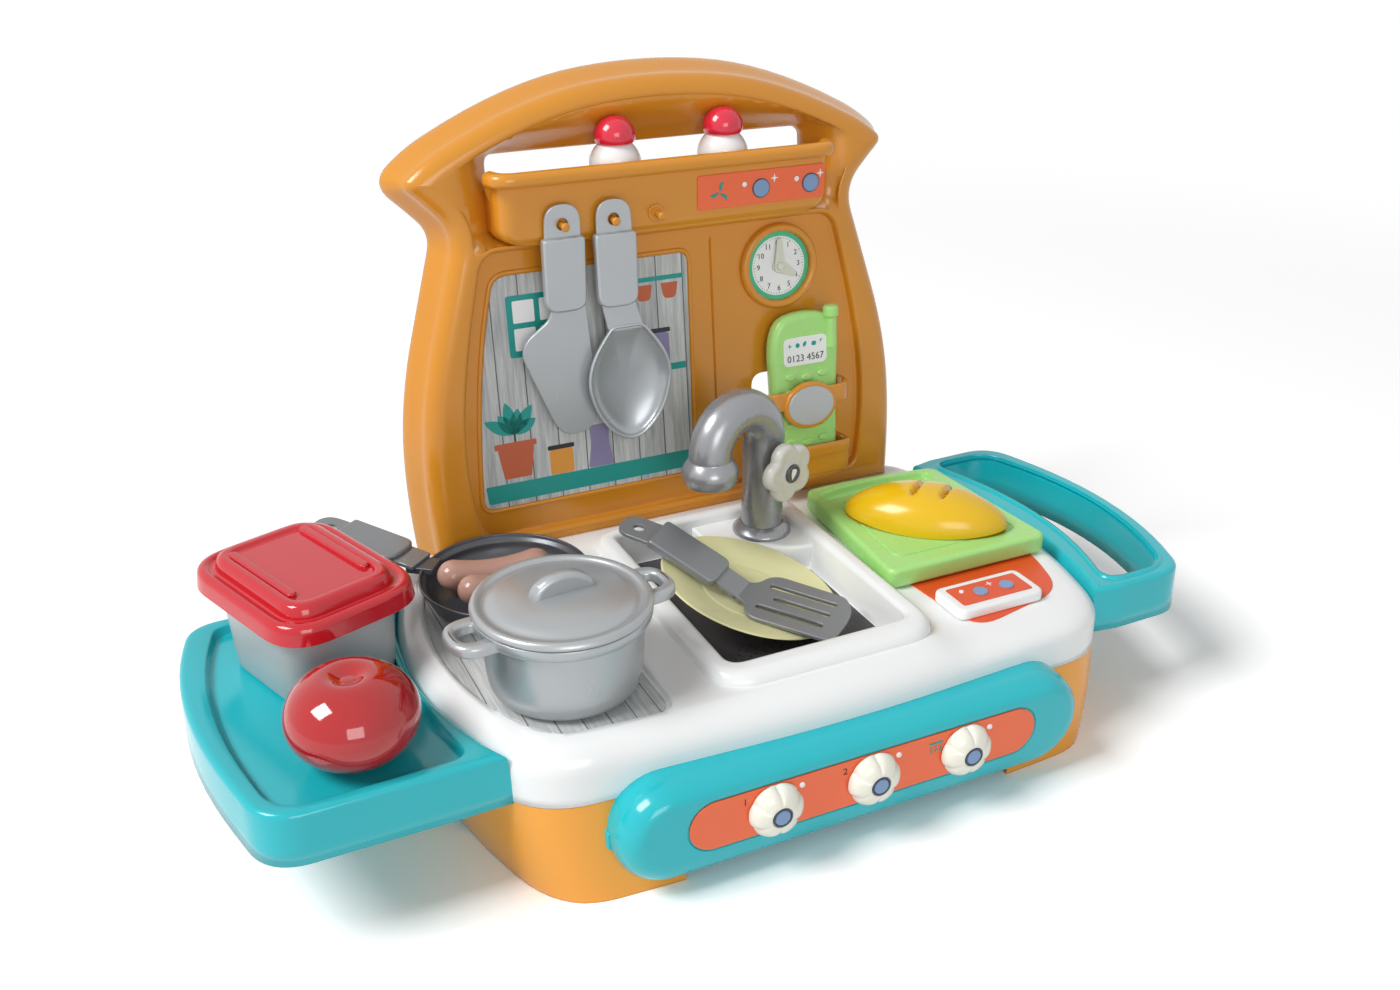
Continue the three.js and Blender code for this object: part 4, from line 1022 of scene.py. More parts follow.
# %% Numbers and signs on labels
def add_text(skin, text, size, at, height, thickness=0.15):
    """Adds flat characters in the built-in typeface to a skin."""
    curve = bpy.data.curves.new("letters", "FONT")
    curve.body, curve.size, curve.extrude = text, size, thickness / 2
    curve.align_x, curve.align_y, curve.resolution_u = "CENTER", "CENTER", 3
    holder = bpy.data.objects.new("letters", curve)
    bpy.context.scene.collection.objects.link(holder)
    bpy.context.view_layer.update()
    mesh = bpy.data.meshes.new_from_object(holder)
    bpy.data.objects.remove(holder)
    points = np.zeros(len(mesh.vertices) * 3)
    mesh.vertices.foreach_get("co", points)
    faces = [list(face.vertices) for face in mesh.polygons]
    return skin.patch(points.reshape(-1, 3) + (*at, height + thickness / 2), faces)


for number, name in enumerate(KNOBS[:2]):
    at = middle(name)[[0, 2]] + (-17.5, 9.0)
    sign = add_text(Skin(), str(number + 1), 6.0, (0, 0), 0.0)
    piece(f"ring_number_{number + 1}", sign, KITCHEN, PRINT_BLACK, place=face_place(at))

# %% The grill's sign
grill_at = middle(KNOBS[2])[[0, 2]] + (-19.5, 9.5)
grill = plate(rounded_box(9, 1.3, 0.5), 0, 0.3, edge=0.1, steps=1)
wave_height = np.linspace(-2.0, -6.2, 14)
for offset in (-3, 0, 3):
    wave = np.column_stack([offset + 0.55 * np.sin((wave_height + 2) * 2.4), wave_height])
    plate(np.concatenate([wave + (0.35, 0), wave[::-1] - (0.35, 0)]), 0, 0.3, edge=0, skin=grill)
piece("grill_sign", grill, KITCHEN, PICTURE_TEAL, place=face_place(grill_at))

# %% [markdown]
# The two wings. The tray has a raised rim round a sunken floor, with a bead along its outer edge. The carry
# handle is a hoop with a flat top. Both are open underneath and hug the body's side, so their inner line is
# the body's own plan, moved outwards by the width of the joint.

# %% What the two wings share
WING_BOTTOM, WING_TOP, TRAY_LEVEL = 57.6, 88.0, 82.5


def beside_body(side, first, last, gap=0.5, count=16):
    """Points of the body's plan on one side, from y = first to y = last, moved out by the joint's width."""
    plan = body_plan(-gap)
    mine = plan[plan[:, 0] * side > 100]
    order = np.argsort(mine[:, 1])
    y = np.linspace(first, last, count)
    return np.column_stack([np.interp(y, mine[order, 1], mine[order, 0]), y])


def wing_rows(loop, edge, bottom, top):
    """Rows from the lower edge up the side and over a rounded edge. The side leans out a little downwards."""
    rows = [level(grow(loop, 1.0 * (1 - k / 3)), bottom + (top - edge - bottom) * k / 3) for k in range(3)]
    rows += [level(grow(loop, -inset), top - drop) for inset, drop in quarter(edge, 6)[::-1]]
    return rows + [level(grow(loop, -edge - 0.8), top)]


def wing_plan(hug, corners, side):
    """Closed plan of a wing: a rounded outline, with its inner side replaced by the body's own line."""
    loop = outline(corners, arc=12, side=6)
    chain = loop[np.abs(loop[:, 0]) > 208]
    chain = chain[np.argsort(np.arctan2(chain[:, 1], side * (chain[:, 0] - side * 200)))]
    ends = [np.linspace(hug[k] + (side * 0.4, 0), chain[k], 6)[1:-1] for k in (0, -1)]
    plan = np.concatenate([ends[0], chain, ends[1][::-1], hug[::-1]])
    return plan if side > 0 else plan[::-1]


# %% Serving tray and carry handle
def serving_tray():
    """Outer rows, a flat rim, a rounded step down to the floor, and the floor."""
    plan = wing_plan(beside_body(-1, -113.5, 87.5), [(-188, -114.2, 3), (-188, 87.8, 3), (-321, 88, 20),
                                                     (-343.5, 8, 86), (-313, -115.2, 22)], -1)
    skin = Skin().wall(wing_rows(plan, 3.4, WING_BOTTOM, WING_TOP))
    well = outline([(-208, -105.5, 11), (-226.5, -16, 80), (-205, 78, 9), (-307.5, 78, 9), (-330.2, 4, 84),
                    (-305, -108.6, 20)], arc=12, side=6)
    steps = [(1.2, WING_TOP), (0.5, WING_TOP - 0.25), (0, WING_TOP - 1.0), (-1.0, TRAY_LEVEL + 1.4),
             (-1.6, TRAY_LEVEL + 0.4), (-2.8, TRAY_LEVEL), (-4.0, TRAY_LEVEL)]
    skin.wall([level(grow(well, out), z) for out, z in steps])
    skin.cap([grow(well, -4.0)], TRAY_LEVEL)
    return skin.cap([grow(plan, -4.2), grow(well, 1.2)], WING_TOP)


def carry_handle():
    """A hoop: outer rows and the hand hole's rows, with a flat top between them."""
    plan = wing_plan(beside_body(1, -109.5, 94.5), [(190, -112.6, 2), (259, -111.4, 16), (297, -18, 92),
                                                    (262.5, 99.6, 22), (190, 97.6, 2)], 1)
    hand = outline([(204, -103, 14), (250, -103, 18), (285.5, -8, 86), (248.5, 86, 14), (205, 86, 12),
                    (236, -14, 86)], arc=12, side=6)
    skin = Skin().wall(wing_rows(plan, 3.0, WING_BOTTOM, WING_TOP))
    inside = [(0.8, WING_BOTTOM + 0.4), (0.4, 72), (0, WING_TOP - 3)]
    rows = [level(grow(hand, -inset), z) for inset, z in inside]
    rows += [level(grow(hand, 2.4 - inset), WING_TOP - drop) for inset, drop in quarter(2.4, 5)[::-1]]
    skin.wall(rows)
    return skin.cap([grow(plan, -3.8), rows[-1][:, :2]], WING_TOP)


piece("tray", serving_tray(), KITCHEN, TURQUOISE, ["serving_tray"], sharp=45, wall=2.4)
piece("handle", carry_handle(), KITCHEN, TURQUOISE, ["carry_handle"], sharp=45, wall=2.4)
# %% [markdown]
# The back panel is a shallow shell that is open behind. Its outer wall flares backwards from a broad rounded
# edge. Inside the edge lies a sunken field for the window and the clock. Above the field a long slot lets the
# shelf through, and over the slot the face slopes back so that the shakers can stand in front of it.

# %% Outlines of the back panel
def panel_plan(distance=0.0):
    """Outline of the panel in its own plane, moved outwards by distance."""
    half = [(167, -5), (170, 40, 30), (167, 100, 40), (135, 205, 16), (153, 224, 10), (164.5, 235, 9),
            (150, 247, 14), (85, 280, 70), (0, 289, 60)]
    return outline(mirrored(half), arc=8, side=5, out=distance)


def field_plan(distance=0.0):
    """Outline of the sunken field."""
    half = [(137, 9, 11), (146, 60, 40), (136, 130, 30), (121, 191, 12), (0, 191)]
    return outline(mirrored(half), arc=8, side=5, out=distance)


SLOT = rounded_box(217, 46, 6, 0, 223.2, arc=8, side=12)
PHONE_WINDOW = rounded_box(64, 50, 9, 92, 62, arc=8, side=4)
SEAM_X = 32.5


def panel_face(x, y):
    """Height of the face: 0, falling by 24 mm times an end factor and a slope factor above the slot."""
    across = 1 - smooth_step(98, 132, np.abs(x))
    top = 275 - 0.0015 * x**2
    slope = smooth_step(0, 1, (top - y) / (top - 245))
    return -24.0 * across * slope * smooth_step(192, 200, y)


def field_height(x, y):
    """Height of the field, with a V groove at the seam between the window part and the clock part."""
    return FIELD - 1.3 * np.clip(1 - np.abs(x - SEAM_X) / 0.9, 0, 1) * (np.abs(y - 96) < 86)


# %% The back panel's skin
def back_panel():
    """Outer wall, rounded edge, face with the slot, step down to the field, and the field."""
    angle = np.linspace(0, np.pi / 2, 10)
    rows = [level(panel_plan(d), h) for d, h in ((8, -28), (7.6, -26), (5.2, -21), (2.6, -16), (0.8, -12.5))]
    rows += [level(panel_plan(-13 * (1 - np.cos(a)) if a else 0), -10 + 10 * np.sin(a)) for a in angle]
    skin = Skin().wall(rows)
    face = panel_plan(-13)
    rim = [(3.4, 0.0), (2.6, 0.0), (1.6, -0.25), (0.7, -0.9), (0.2, -1.9), (0.0, -3.2), (0.0, -5.2),
           (-0.4, -6.1), (-1.2, FIELD), (-2.0, FIELD)]
    skin.wall([level(field_plan(d), h) for d, h in rim])
    band = np.stack(np.meshgrid(np.arange(-126, 127, 4.0), np.arange(246, 284, 3.0)), -1).reshape(-1, 2)
    skin.cap([face, field_plan(3.4), grow(SLOT, 1.5)], panel_face, spacing=9.0, extra=band)
    slot_rows = [level(grow(SLOT, 1.5), panel_face)]
    for inset, drop in ((1.0, 0.15), (0.4, 0.6), (0.0, 1.5), (0.0, 6.0)):
        slot_rows.append(level(grow(SLOT, inset), lambda x, y: panel_face(x, y) - drop))
    skin.wall(slot_rows)
    columns = SEAM_X + np.array([-4, -1.8, -0.9, 0, 0.9, 1.8, 4])
    seam = np.stack(np.meshgrid(columns, np.linspace(11, 181, 86)), -1).reshape(-1, 2)
    inner, window = field_plan(-2.0), grow(PHONE_WINDOW, 1.2)
    skin.cap([inner, window], field_height, spacing=12.0, extra=seam)
    depths = [(1.2, 0.0), (0.5, -0.3), (0.1, -0.9), (0.0, -1.6), (0.0, -10.0)]
    return skin.wall([level(grow(PHONE_WINDOW, d), FIELD + h) for d, h in depths])


# The panel and everything moulded on it take the body's orange darkened as painted shade.
piece("panel", back_panel(), KITCHEN, SHADED_PANEL_ORANGE, ["back_panel"], sharp=50, wall=2.6, place=PANEL)


# %% [markdown]
# Behind the panel upright and level ribs stiffen the thin wall, and two posts take its screws, as on most
# mouldings. Each rib is a plate 1.8 mm thick, and a post is a turned profile that widens towards its root.

# %% Ribs and posts
RIB_HALF, RIB_DEPTH, RIB_ROOT = 0.9, 16.0, FIELD - 2.4


def rib(x0, y0, x1, y1):
    """A thin web behind the panel, from one point of its plane to another above or beside it."""
    a, b = (RIB_HALF, 0.0) if x0 == x1 else (0.0, RIB_HALF)
    loop = np.array([(x0 - a, y0 - b), (x1 + a, y0 - b), (x1 + a, y1 + b), (x0 - a, y1 + b)])
    return plate(loop, RIB_ROOT - RIB_DEPTH, RIB_ROOT, edge=0)


ribs = Skin()
for x in (-96, -32, 32):
    add_skin(ribs, rib(x, 14, x, 186))
for y, right in ((96, 56), (150, 130), (40, 56)):
    add_skin(ribs, rib(-140, y, right, y))
for x in (-118, 118):
    post = lathe([(0, FIELD - 22), (4.6, FIELD - 22), (5.2, FIELD - 2.5)], 32)
    add_skin(ribs, post.moved(Place((x, 168, 0))))
piece("panel_ribs", ribs, KITCHEN, SHADED_PANEL_ORANGE, sharp=30, place=PANEL)

# %% [markdown]
# The window print is one flat sheet of boards inside a thin raised frame. Its picture is built in layers of
# thin shapes: a window with four panes, a rail with cups, a plant in a pot, jars on a shelf. Each layer is a
# tenth of a millimetre above the last, and all shapes of one colour make one piece.

# %% The window sheet, its frame and its picture
window_plan = outline([(-134, 27.6, 7), (13.2, 27.6, 5), (15.4, 176, 7), (-114, 175.6, 9), (-120.5, 150, 20),
                       (-131, 96, 60)], arc=8, side=5)
sticker("window_sheet", window_plan, FIELD, WALL_BOARDS, "window_sticker", 0.55, PANEL)
ridge = [(3.4, -0.3), (3.1, 0.5), (2.5, 1.1), (1.7, 1.3), (1.0, 1.1), (0.5, 0.5), (0.3, -0.3)]
frame_skin = Skin().wall([level(grow(window_plan, d), FIELD + h) for d, h in ridge])
frame_skin.wall([level(grow(window_plan, 0.3), FIELD - 0.3), level(grow(window_plan, 3.4), FIELD - 0.3)])
piece("window_frame", frame_skin, KITCHEN, SHADED_PANEL_ORANGE, sharp=60, place=PANEL)


# %% Shapes for printed pictures
def boxed(x0, y0, x1, y1, reach=0.0):
    """Outline of an upright rectangle from its corners."""
    return rounded_box(x1 - x0, y1 - y0, reach, (x0 + x1) / 2, (y0 + y1) / 2, arc=5, side=2)


def leaf(x, y, heading, length, width):
    """A pointed leaf from its foot: half-width is width/2 * sin(pi t)^0.8 along its length."""
    t = np.linspace(0, 1, 9)
    half = width / 2 * np.sin(np.pi * t) ** 0.8
    loop = np.concatenate([np.stack([t * length, -half], 1)[:-1], np.stack([t * length, half], 1)[::-1][:-1]])
    return spun(loop, heading, (x, y))


PRINT_LEVEL = FIELD + 0.55


def printed(name, loops, layer, material, slot="plank_label", body=KITCHEN, place=PANEL, base=PRINT_LEVEL):
    """Thin shapes of one colour on a printed sheet."""
    skin = Skin()
    for loop in loops:
        plate(np.asarray(loop, float), base - 0.02, base + 0.1 * layer, edge=0, skin=skin)
    return piece(name, skin, body, material, place=place)


def cup(x, y, size):
    """A cup hanging from a rail: a bowl outline with a foot."""
    foot, low = size * 0.7, y - size * 1.7
    corners = [(x - size, y, 1), (x - foot, low, 3), (x + foot, low, 3), (x + size, y, 1)]
    return outline(corners, arc=5, side=2)


# %% The picture's layers
panes = [boxed(x, y, x + 14, y + 14, 1) for x in (-104, -86.5) for y in (128, 145.5)]
counter = outline([(-131, 31, 2), (10, 31, 2), (10, 43, 1), (-132, 43, 1)], arc=4)
rail = boxed(-44, 160, 12, 163, 1)
lower_shelf = boxed(-52, 100, 11, 104.5, 0.5)
leaves = [leaf(-110, 75, angle, 17 + 5 * (k % 2), 8) for k, angle in enumerate(range(30, 155, 24))]
cloth = outline([(-26, 96), (-12, 96), (-13, 78, 4), (-25, 77, 4)], arc=4)
printed("print_window_frame", [boxed(-108, 124, -69, 163, 2)], 1, PICTURE_TEAL)
printed("print_window_panes", panes, 2, PRINT_WHITE)
printed("print_teal", [counter, rail, lower_shelf, cloth, *leaves], 1, PICTURE_TEAL)
pot_shape = outline([(-119, 46, 1), (-101, 46, 1), (-98, 66, 1), (-122, 66, 1)], arc=4)
cups = [cup(-34, 158, 6), cup(-16, 158, 6), cup(2, 158, 6)]
jars = [boxed(-46, 104.8, -34, 122, 2), boxed(-30, 104.8, -20, 117, 2)]
printed("print_terracotta", [pot_shape, boxed(-124, 66, -96, 70, 1), *cups], 1, TERRACOTTA)
printed_orange = plastic("printed orange", "E39A3C", 0.45, grain=0.4)
printed("print_orange", [*jars, boxed(-88, 43.3, -72, 60, 2)], 1, printed_orange)
jug = outline([(-62, 43.3, 2), (-44, 43.3, 2), (-47, 60, 4), (-46, 72, 1), (-60, 72, 1), (-59, 60, 4)], arc=5)
printed("print_violet", [jug, boxed(-12, 104.8, 0, 126, 3), boxed(-46, 122, -34, 125, 1)], 1, PRINT_VIOLET)
lids = [boxed(-31, 117, -19, 119.5, 1), boxed(-89, 60, -71, 63, 1), boxed(-13, 126, 1, 129, 1)]
printed("print_dark", [*lids, boxed(-110.6, 70, -109.4, 84)], 1, PRINT_BLACK)

# %% [markdown]
# The clock: a turned ring, a pale dial inside a green band, sixty minute marks and the numbers 1 to 12, and
# two cream hands on a pin. The hands are separate bodies, so each hand's mesh rides on its own body.

# %% Clock
CLOCK = Place(on_field(82, 250), on=PANEL)
ring_profile = soft_path([(23.0, 0.2), (28.4, 0.2), (28.6, 2.6, 1.5), (26.6, 5.0, 1.8), (23.6, 4.2, 0.8),
                          (23.0, 2.6, 0.6), (23.0, 0.2)], arc=6)
piece("clock_bezel", lathe(ring_profile, 96), KITCHEN, SHADED_PANEL_ORANGE, ["clock_ring"], sharp=70,
      place=CLOCK)
dial = plate(ring(22.8, count=72), 0.3, 0.75, edge=0)
piece("clock_dial", dial, KITCHEN, PRINT_WHITE, ["clock_face"], place=CLOCK)
band = plate(ring(22.7, count=72), 0.7, 0.85, edge=0, holes=[ring(19.7, count=72)])
piece("clock_band", band, KITCHEN, CLOCK_GREEN, place=CLOCK)

# %% The dial's numbers and minute marks
NUMBER_RADIUS, MARK_RADIUS, MARK_HALF, DIAL_LEVEL = 15.0, 18.9, 0.13, 0.74
numbers = Skin()
for hour in range(1, 13):
    angle = math.radians(90 - 30 * hour)
    spot = (NUMBER_RADIUS * math.cos(angle), NUMBER_RADIUS * math.sin(angle))
    add_text(numbers, str(hour), 5.0, spot, DIAL_LEVEL)
for minute in range(60):
    inner = MARK_RADIUS - (1.7 if minute % 5 == 0 else 0.8)
    corners = [(inner, -MARK_HALF), (MARK_RADIUS, -MARK_HALF), (MARK_RADIUS, MARK_HALF), (inner, MARK_HALF)]
    plate(spun(np.array(corners), 6 * minute), DIAL_LEVEL, DIAL_LEVEL + 0.12, edge=0, skin=numbers)
piece("clock_numbers", numbers, KITCHEN, PRINT_BLACK, place=CLOCK)


# %% The hands and their pin
def hand(length, width, bottom):
    """A tapered hand with a round boss and a raised middle line."""
    plan = outline([(-width / 2, -4.4, 4), (width / 2, -4.4, 4), (width / 2.1, 2, 4), (1.7, length, 1.6),
                    (-1.7, length, 1.6), (-width / 2.1, 2, 4)], arc=6, side=4)
    return plate(plan, bottom, bottom + 1.25, edge=0.5, steps=3)


piece("hour_pointer", hand(14.5, 9, 0.95), "hour_hand_body", HAND_CREAM, ["hour_hand"],
      place=Place((0, 0, 0), turned(0, 0, -120), CLOCK))
piece("minute_pointer", hand(18.5, 8, 2.45), "minute_hand_body", HAND_CREAM, ["minute_hand"],
      place=CLOCK)
pin_profile = soft_path([(0, 0.4), (1.25, 0.4), (1.25, 4.0), (2.7, 4.0), (2.6, 4.8, 0.6), (0, 5.3)], arc=4)
piece("clock_rivet", lathe(pin_profile, 32), KITCHEN, HAND_CREAM, ["clock_pin"], place=CLOCK)

# %% [markdown]
# Pockets. The shelf and the phone's holder are both open-topped pockets: a floor, walls with rounded lower
# corners, and a bead along the top edge. One function makes both. It lists horizontal loops from the bottom
# outside up to the bead and down again inside, and the back wall may be lower than the front.

# %% Shelf and phone pocket
def pocket(half, front, back, bottom, top, wall, corner, plan_corner, bead, back_top=None, blend=(0, 1)):
    """Loops at rising heights. At height z the half-width is half - (c - sqrt(c^2 - (c - z)^2)) for the lower
    corners c. The bead moves the loop out by a half circle. Behind blend the walls end at back_top."""
    back_top = top if back_top is None else back_top

    def plan(inset, z):
        low = max(corner - (z - bottom), 0.0)
        side = half - inset - (corner - math.sqrt(max(corner**2 - low**2, 0.01)))
        edge = inset + 0.22 * low * (low > corner * 0.75)
        return outline([(side, back - inset), (-side, back - inset), (-side, front + edge, plan_corner),
                        (side, front + edge, plan_corner)], arc=8, side=10)

    def line(z, inset, out=0.0):
        loop = plan(inset, z)
        behind = smooth_step(*blend, loop[:, 1])
        z_here = z - behind * max(0.0, z - bottom) / (top - bottom) * (top - back_top)
        return np.column_stack([grow(loop, out) if out else loop, z_here])

    def flared(z, inset, out):
        base, wide = line(z, inset), line(z, inset, max(out, 0.01))
        share = 1 - smooth_step(*blend, base[:, 1])[:, None]
        return base * (1 - share) + np.column_stack([wide[:, :2], base[:, 2]]) * share

    heights = bottom + (corner + 1) * (1 - np.cos(np.linspace(0, np.pi / 2, 9)))
    rows = [line(z, 0.0) for z in heights]
    rows += [line(z, 0.0) for z in np.linspace(heights[-1], top - 10, 4)[1:]]
    rows += [flared(top - 9 + rise, 0.0, bead * share) for rise, share in
             ((0, 0), (0.3, 0.6), (1.2, 0.92), (3.0, 1.0), (5.4, 1.0), (7.2, 0.86), (8.4, 0.55), (9.0, 0.1))]
    rows += [line(top - 0.5, wall * 0.6), line(top - 2, wall)]
    rows += [line(z, wall) for z in np.linspace(top - 8, bottom + corner, 4)]
    inner = bottom + wall + (corner - wall) * (1 - np.sin(np.linspace(0, np.pi / 2, 5)[1:]))
    rows += [line(max(z, bottom + wall), wall) for z in inner]
    skin = Skin().wall(rows)
    skin.cap([rows[0][:, :2]], bottom)
    return skin.cap([rows[-1][:, :2]], rows[-1][0, 2])


# %% The shelf and its three pegs
shelf_skin = pocket(112, 98, 136, 286, 331, 2.6, 12, 11, 5.8, back_top=316, blend=(109, 114))
piece("shelf_tray", shelf_skin, KITCHEN, SHADED_PANEL_ORANGE, ["shelf"], sharp=60)
SHELF_FRONT = Place((0, 98, 0), FACING_FRONT)
peg = soft_path([
    (0, 0), (5.4, 0), (5.3, 0.9, 0.6), (3.4, 1.0, 0.3), (3.0, 0.6, 0.3), (2.1, 0.8, 0.4), (2.0, 8.4, 0.5),
    (2.7, 9.0, 0.4), (2.7, 10.2, 0.6), (1.2, 10.7, 0.4), (0, 10.5),
], arc=4)
for number, x in enumerate((-74.5, -42, -11.7)):
    piece(f"peg_{number + 1}", lathe(peg, 40), KITCHEN, SHADED_PANEL_ORANGE, [f"hook_{number + 1}"],
          sharp=60, place=Place((x, 97.7, 298), FACING_FRONT))

# %% [markdown]
# The hood's label makes the shelf's front look like a cooker hood with a fan, two buttons and two lights. It
# is a thin sheet, and every mark on it is again a raised shape, so nothing depends on a printed image.

# %% The hood's label
LABEL_LEVEL = 0.8
hood = plate(boxed(16.5, 296, 107.5, 317.5, 2.2), 0.1, LABEL_LEVEL, edge=0.2, steps=1)
piece("hood_label", hood, KITCHEN, LABEL_RED, ["hood_sticker"], place=SHELF_FRONT)


def fan_blade(x, y, turn, size=1.0):
    """One curved blade of a fan sign: a strip round the line y = 1.8 sin(2.4 t), narrow at both ends."""
    t = np.linspace(0, 1, 8)
    middle_line = np.stack([1.0 + 6.0 * t, 1.8 * np.sin(t * 2.4)], 1)
    half = 1.15 * np.sin(np.pi * (0.12 + 0.85 * t))[:, None] * (0, 1)
    loop = np.concatenate([middle_line - half, (middle_line + half)[::-1]])
    return spun(loop * size, turn, (x, y))


hood_marks = dict(slot="red_label", place=SHELF_FRONT, base=LABEL_LEVEL)
printed("hood_fan", [fan_blade(32, 306, turn) for turn in (60, 180, 300)], 3, PICTURE_TEAL, **hood_marks)
printed("hood_lights", [ring(1.6, x, 309.5, 20) for x in (49, 86.5)], 6, PRINT_WHITE, **hood_marks)
printed("hood_sparks", [spark(3.0) + (x, 311.5) for x in (70.5, 104)], 2, PRINT_WHITE, **hood_marks)
for number, x in enumerate((61, 97)):
    rim = plate(ring(6.2, x, 306, 40), LABEL_LEVEL - 0.1, LABEL_LEVEL + 0.5, edge=0.2, steps=2)
    piece(f"hood_rim_{number + 1}", rim, KITCHEN, DARK_LINE, place=SHELF_FRONT)
    knob = plate(ring(5.6, x, 306, 40), LABEL_LEVEL, LABEL_LEVEL + 1.1, edge=0.6, steps=3)
    piece(f"hood_button_{number + 1}", knob, KITCHEN, BUTTON_BLUE, place=SHELF_FRONT)

# %% [markdown]
# The phone stands in a pocket and behind a strap. In the holder's own frame x runs across, y is the depth
# from the field to the back, and z runs up the panel. The strap is a band bent round the phone, with an oval
# shield in its middle that stays plain.

# %% Phone holder
HOLDER = Place(np.array(on_field(93.5, 102)), turned(-90), PANEL)
holder_pocket = pocket(33, -19, -0.3, 0, 25, 2.6, 9, 6, 1.0)
piece("phone_pocket", holder_pocket, KITCHEN, SHADED_PANEL_ORANGE, ["phone_holder"], sharp=60,
      place=HOLDER)


# %% The strap and its oval shield
STRAP_LEVEL = 60.0


def strap():
    """A band of constant section along a path that stands out from the panel, runs across and returns. A
    point of the section lies at path + normal * its depth."""
    route = soft_path([(-36, -0.3), (-36, -9.5, 5), (-30, -20.4, 8), (28, -20.4, 8), (34, -9.5, 5),
                       (34, -0.3)], arc=8)
    step = np.gradient(route, axis=0)
    normal = np.stack([step[:, 1], -step[:, 0]], 1) / np.hypot(*step.T)[:, None]
    section = outline([(-6.3, -1.4, 1.2), (6.3, -1.4, 1.2), (6.3, 1.4, 1.2), (-6.3, 1.4, 1.2)], arc=4, side=1)
    flat = route[:, None] + normal[:, None] * section[:, 1][None, :, None]
    up = np.broadcast_to(STRAP_LEVEL + section[:, 0], flat.shape[:2])
    rows = np.concatenate([flat, up[..., None]], -1)
    skin = Skin().wall(rows)
    for end in (rows[0], rows[-1]):
        skin.patch(end, [range(len(end))])
    return skin


piece("phone_strap", strap(), KITCHEN, SHADED_PANEL_ORANGE, sharp=60, place=HOLDER)
SHIELD = Place((-1, -21.6, 55.5), turned(90), HOLDER)
shield = plate(ring(20.2, count=64, squeeze=0.8), -1.6, 2.0, edge=1.4, steps=4)
piece("shield_rim", shield, KITCHEN, SHADED_PANEL_ORANGE, place=SHIELD, sharp=60)
shield_face = plate(ring(17.4, count=64, squeeze=0.78), 1.9, 2.5, edge=0.4, steps=2)
piece("shield_face", shield_face, KITCHEN, SILVER, ["holder_badge"], place=SHIELD)

# %% [markdown]
# The phone is a slim block whose front is rounded over broadly. Its outline narrows at the foot, and the rows
# run from the flat back over the edge to the flat front. The screen, its rim, the aerial and the keys are
# pieces of their own on the same body, so they rise with it.

# %% Phone
PHONE = Place((0, -15.4, 5), turned(90), HOLDER)


def phone_body():
    """Rows from the back to the front: a small edge, an upright side, and a quarter ellipse in front."""
    plan = outline([(-24, 0, 9), (24, 0, 9), (25, 60, 14), (27.4, 108, 30), (0, 114.5, 26), (-27.4, 108, 30),
                    (-25, 60, 14)], arc=10, side=5)
    rows = [level(grow(plan, -inset), z) for inset, z in ((1.6, -9.5), (0.5, -9.0), (0, -8.0), (0, -4.2))]
    rows += [level(grow(plan, -inset * 1.15), -drop) for inset, drop in quarter(4.2, 7)[::-1]]
    skin = Skin().wall(rows)
    skin.cap([grow(plan, -4.83)], 0.0)
    return skin.cap([grow(plan, -1.6)], -9.5)


piece("handset", phone_body(), "phone_body", GREEN, ["phone"], sharp=60, place=PHONE)

# %% The aerial, the screen and the keys
aerial = soft_path([(0, 92), (4.0, 92), (4.0, 112.4, 0.6), (5.3, 113, 0.8), (5.3, 119.6, 1.6),
                    (3.4, 120.4, 0.8), (0, 120.6)], arc=4)
aerial_place = Place((19.6, -4.6, 0), turned(-90), PHONE)
piece("handset_aerial", lathe(aerial, 40), "phone_body", GREEN, sharp=60, place=aerial_place)
screen_plan = boxed(-17, 77.5, 16, 97, 4)
screen = plate(screen_plan, -0.2, 0.45, edge=0.25, steps=2)
piece("handset_screen", screen, "phone_body", PRINT_WHITE, ["phone_screen"], place=PHONE)
screen_rim = plate(boxed(-18.6, 76, 17.6, 98.5, 5), -0.4, 0.25, edge=0.2, steps=2, holes=[screen_plan])
piece("handset_rim", screen_rim, "phone_body", GREEN, place=PHONE)
digits = add_text(Skin(), "0123 4567", 6.6, (-0.5, 82.4), 0.44)
piece("handset_digits", digits, "phone_body", PRINT_BLACK, place=PHONE)
signs = [spark(1.9) + (-12.5, 91.5), ring(1.6, -6.5, 91.5, 16), leaf(-2.2, 90, 60, 4.4, 2.4),
         boxed(4.3, 90, 7.6, 93, 1), fan_blade(10.5, 91.4, 40, 0.45)]
printed("handset_signs", signs, 1, PICTURE_TEAL, body="phone_body", place=PHONE, base=0.45)
keys = Skin()
for row in range(5):
    for column in (-1, 0, 1):
        shape = ring(3.9, 12.6 * column, 68.6 - 11.5 * row + 1.4 * abs(column), 32, 0.62)
        plate(shape, -0.3, 1.5, edge=1.0, steps=4, skin=keys)
piece("handset_keys", keys, "phone_body", GREEN, place=PHONE, sharp=60)
# %% [markdown]
# The tap. Its column, gooseneck and mouth are rows of circles: first along a path that goes up, round a half
# circle and down, then over the bulb of the mouth and back up its bore. The flower handle is a plate whose
# outline is r = 14.6 + 5.6 (cos(2.5 a)^2 + 0.02)^0.3, which has five round lobes and narrow notches.

# %% The tap with its flower handle
TAP = Place((*TAP_STAND, 92), turned(0, 0, 198))
COLUMN_TOP, NECK, BEND = 68.0, 13.6, 23.75

flange = soft_path([(13.9, 0.3), (19.3, 0.3, 0.6), (19.3, 2.6, 1.2), (16.6, 5.6, 2.5), (13.9, 7.2),
                    (13.9, 0.3)])
piece("tap_flange", lathe(flange), KITCHEN, TAP_GREY, ["tap_flange"], sharp=60, place=TAP)

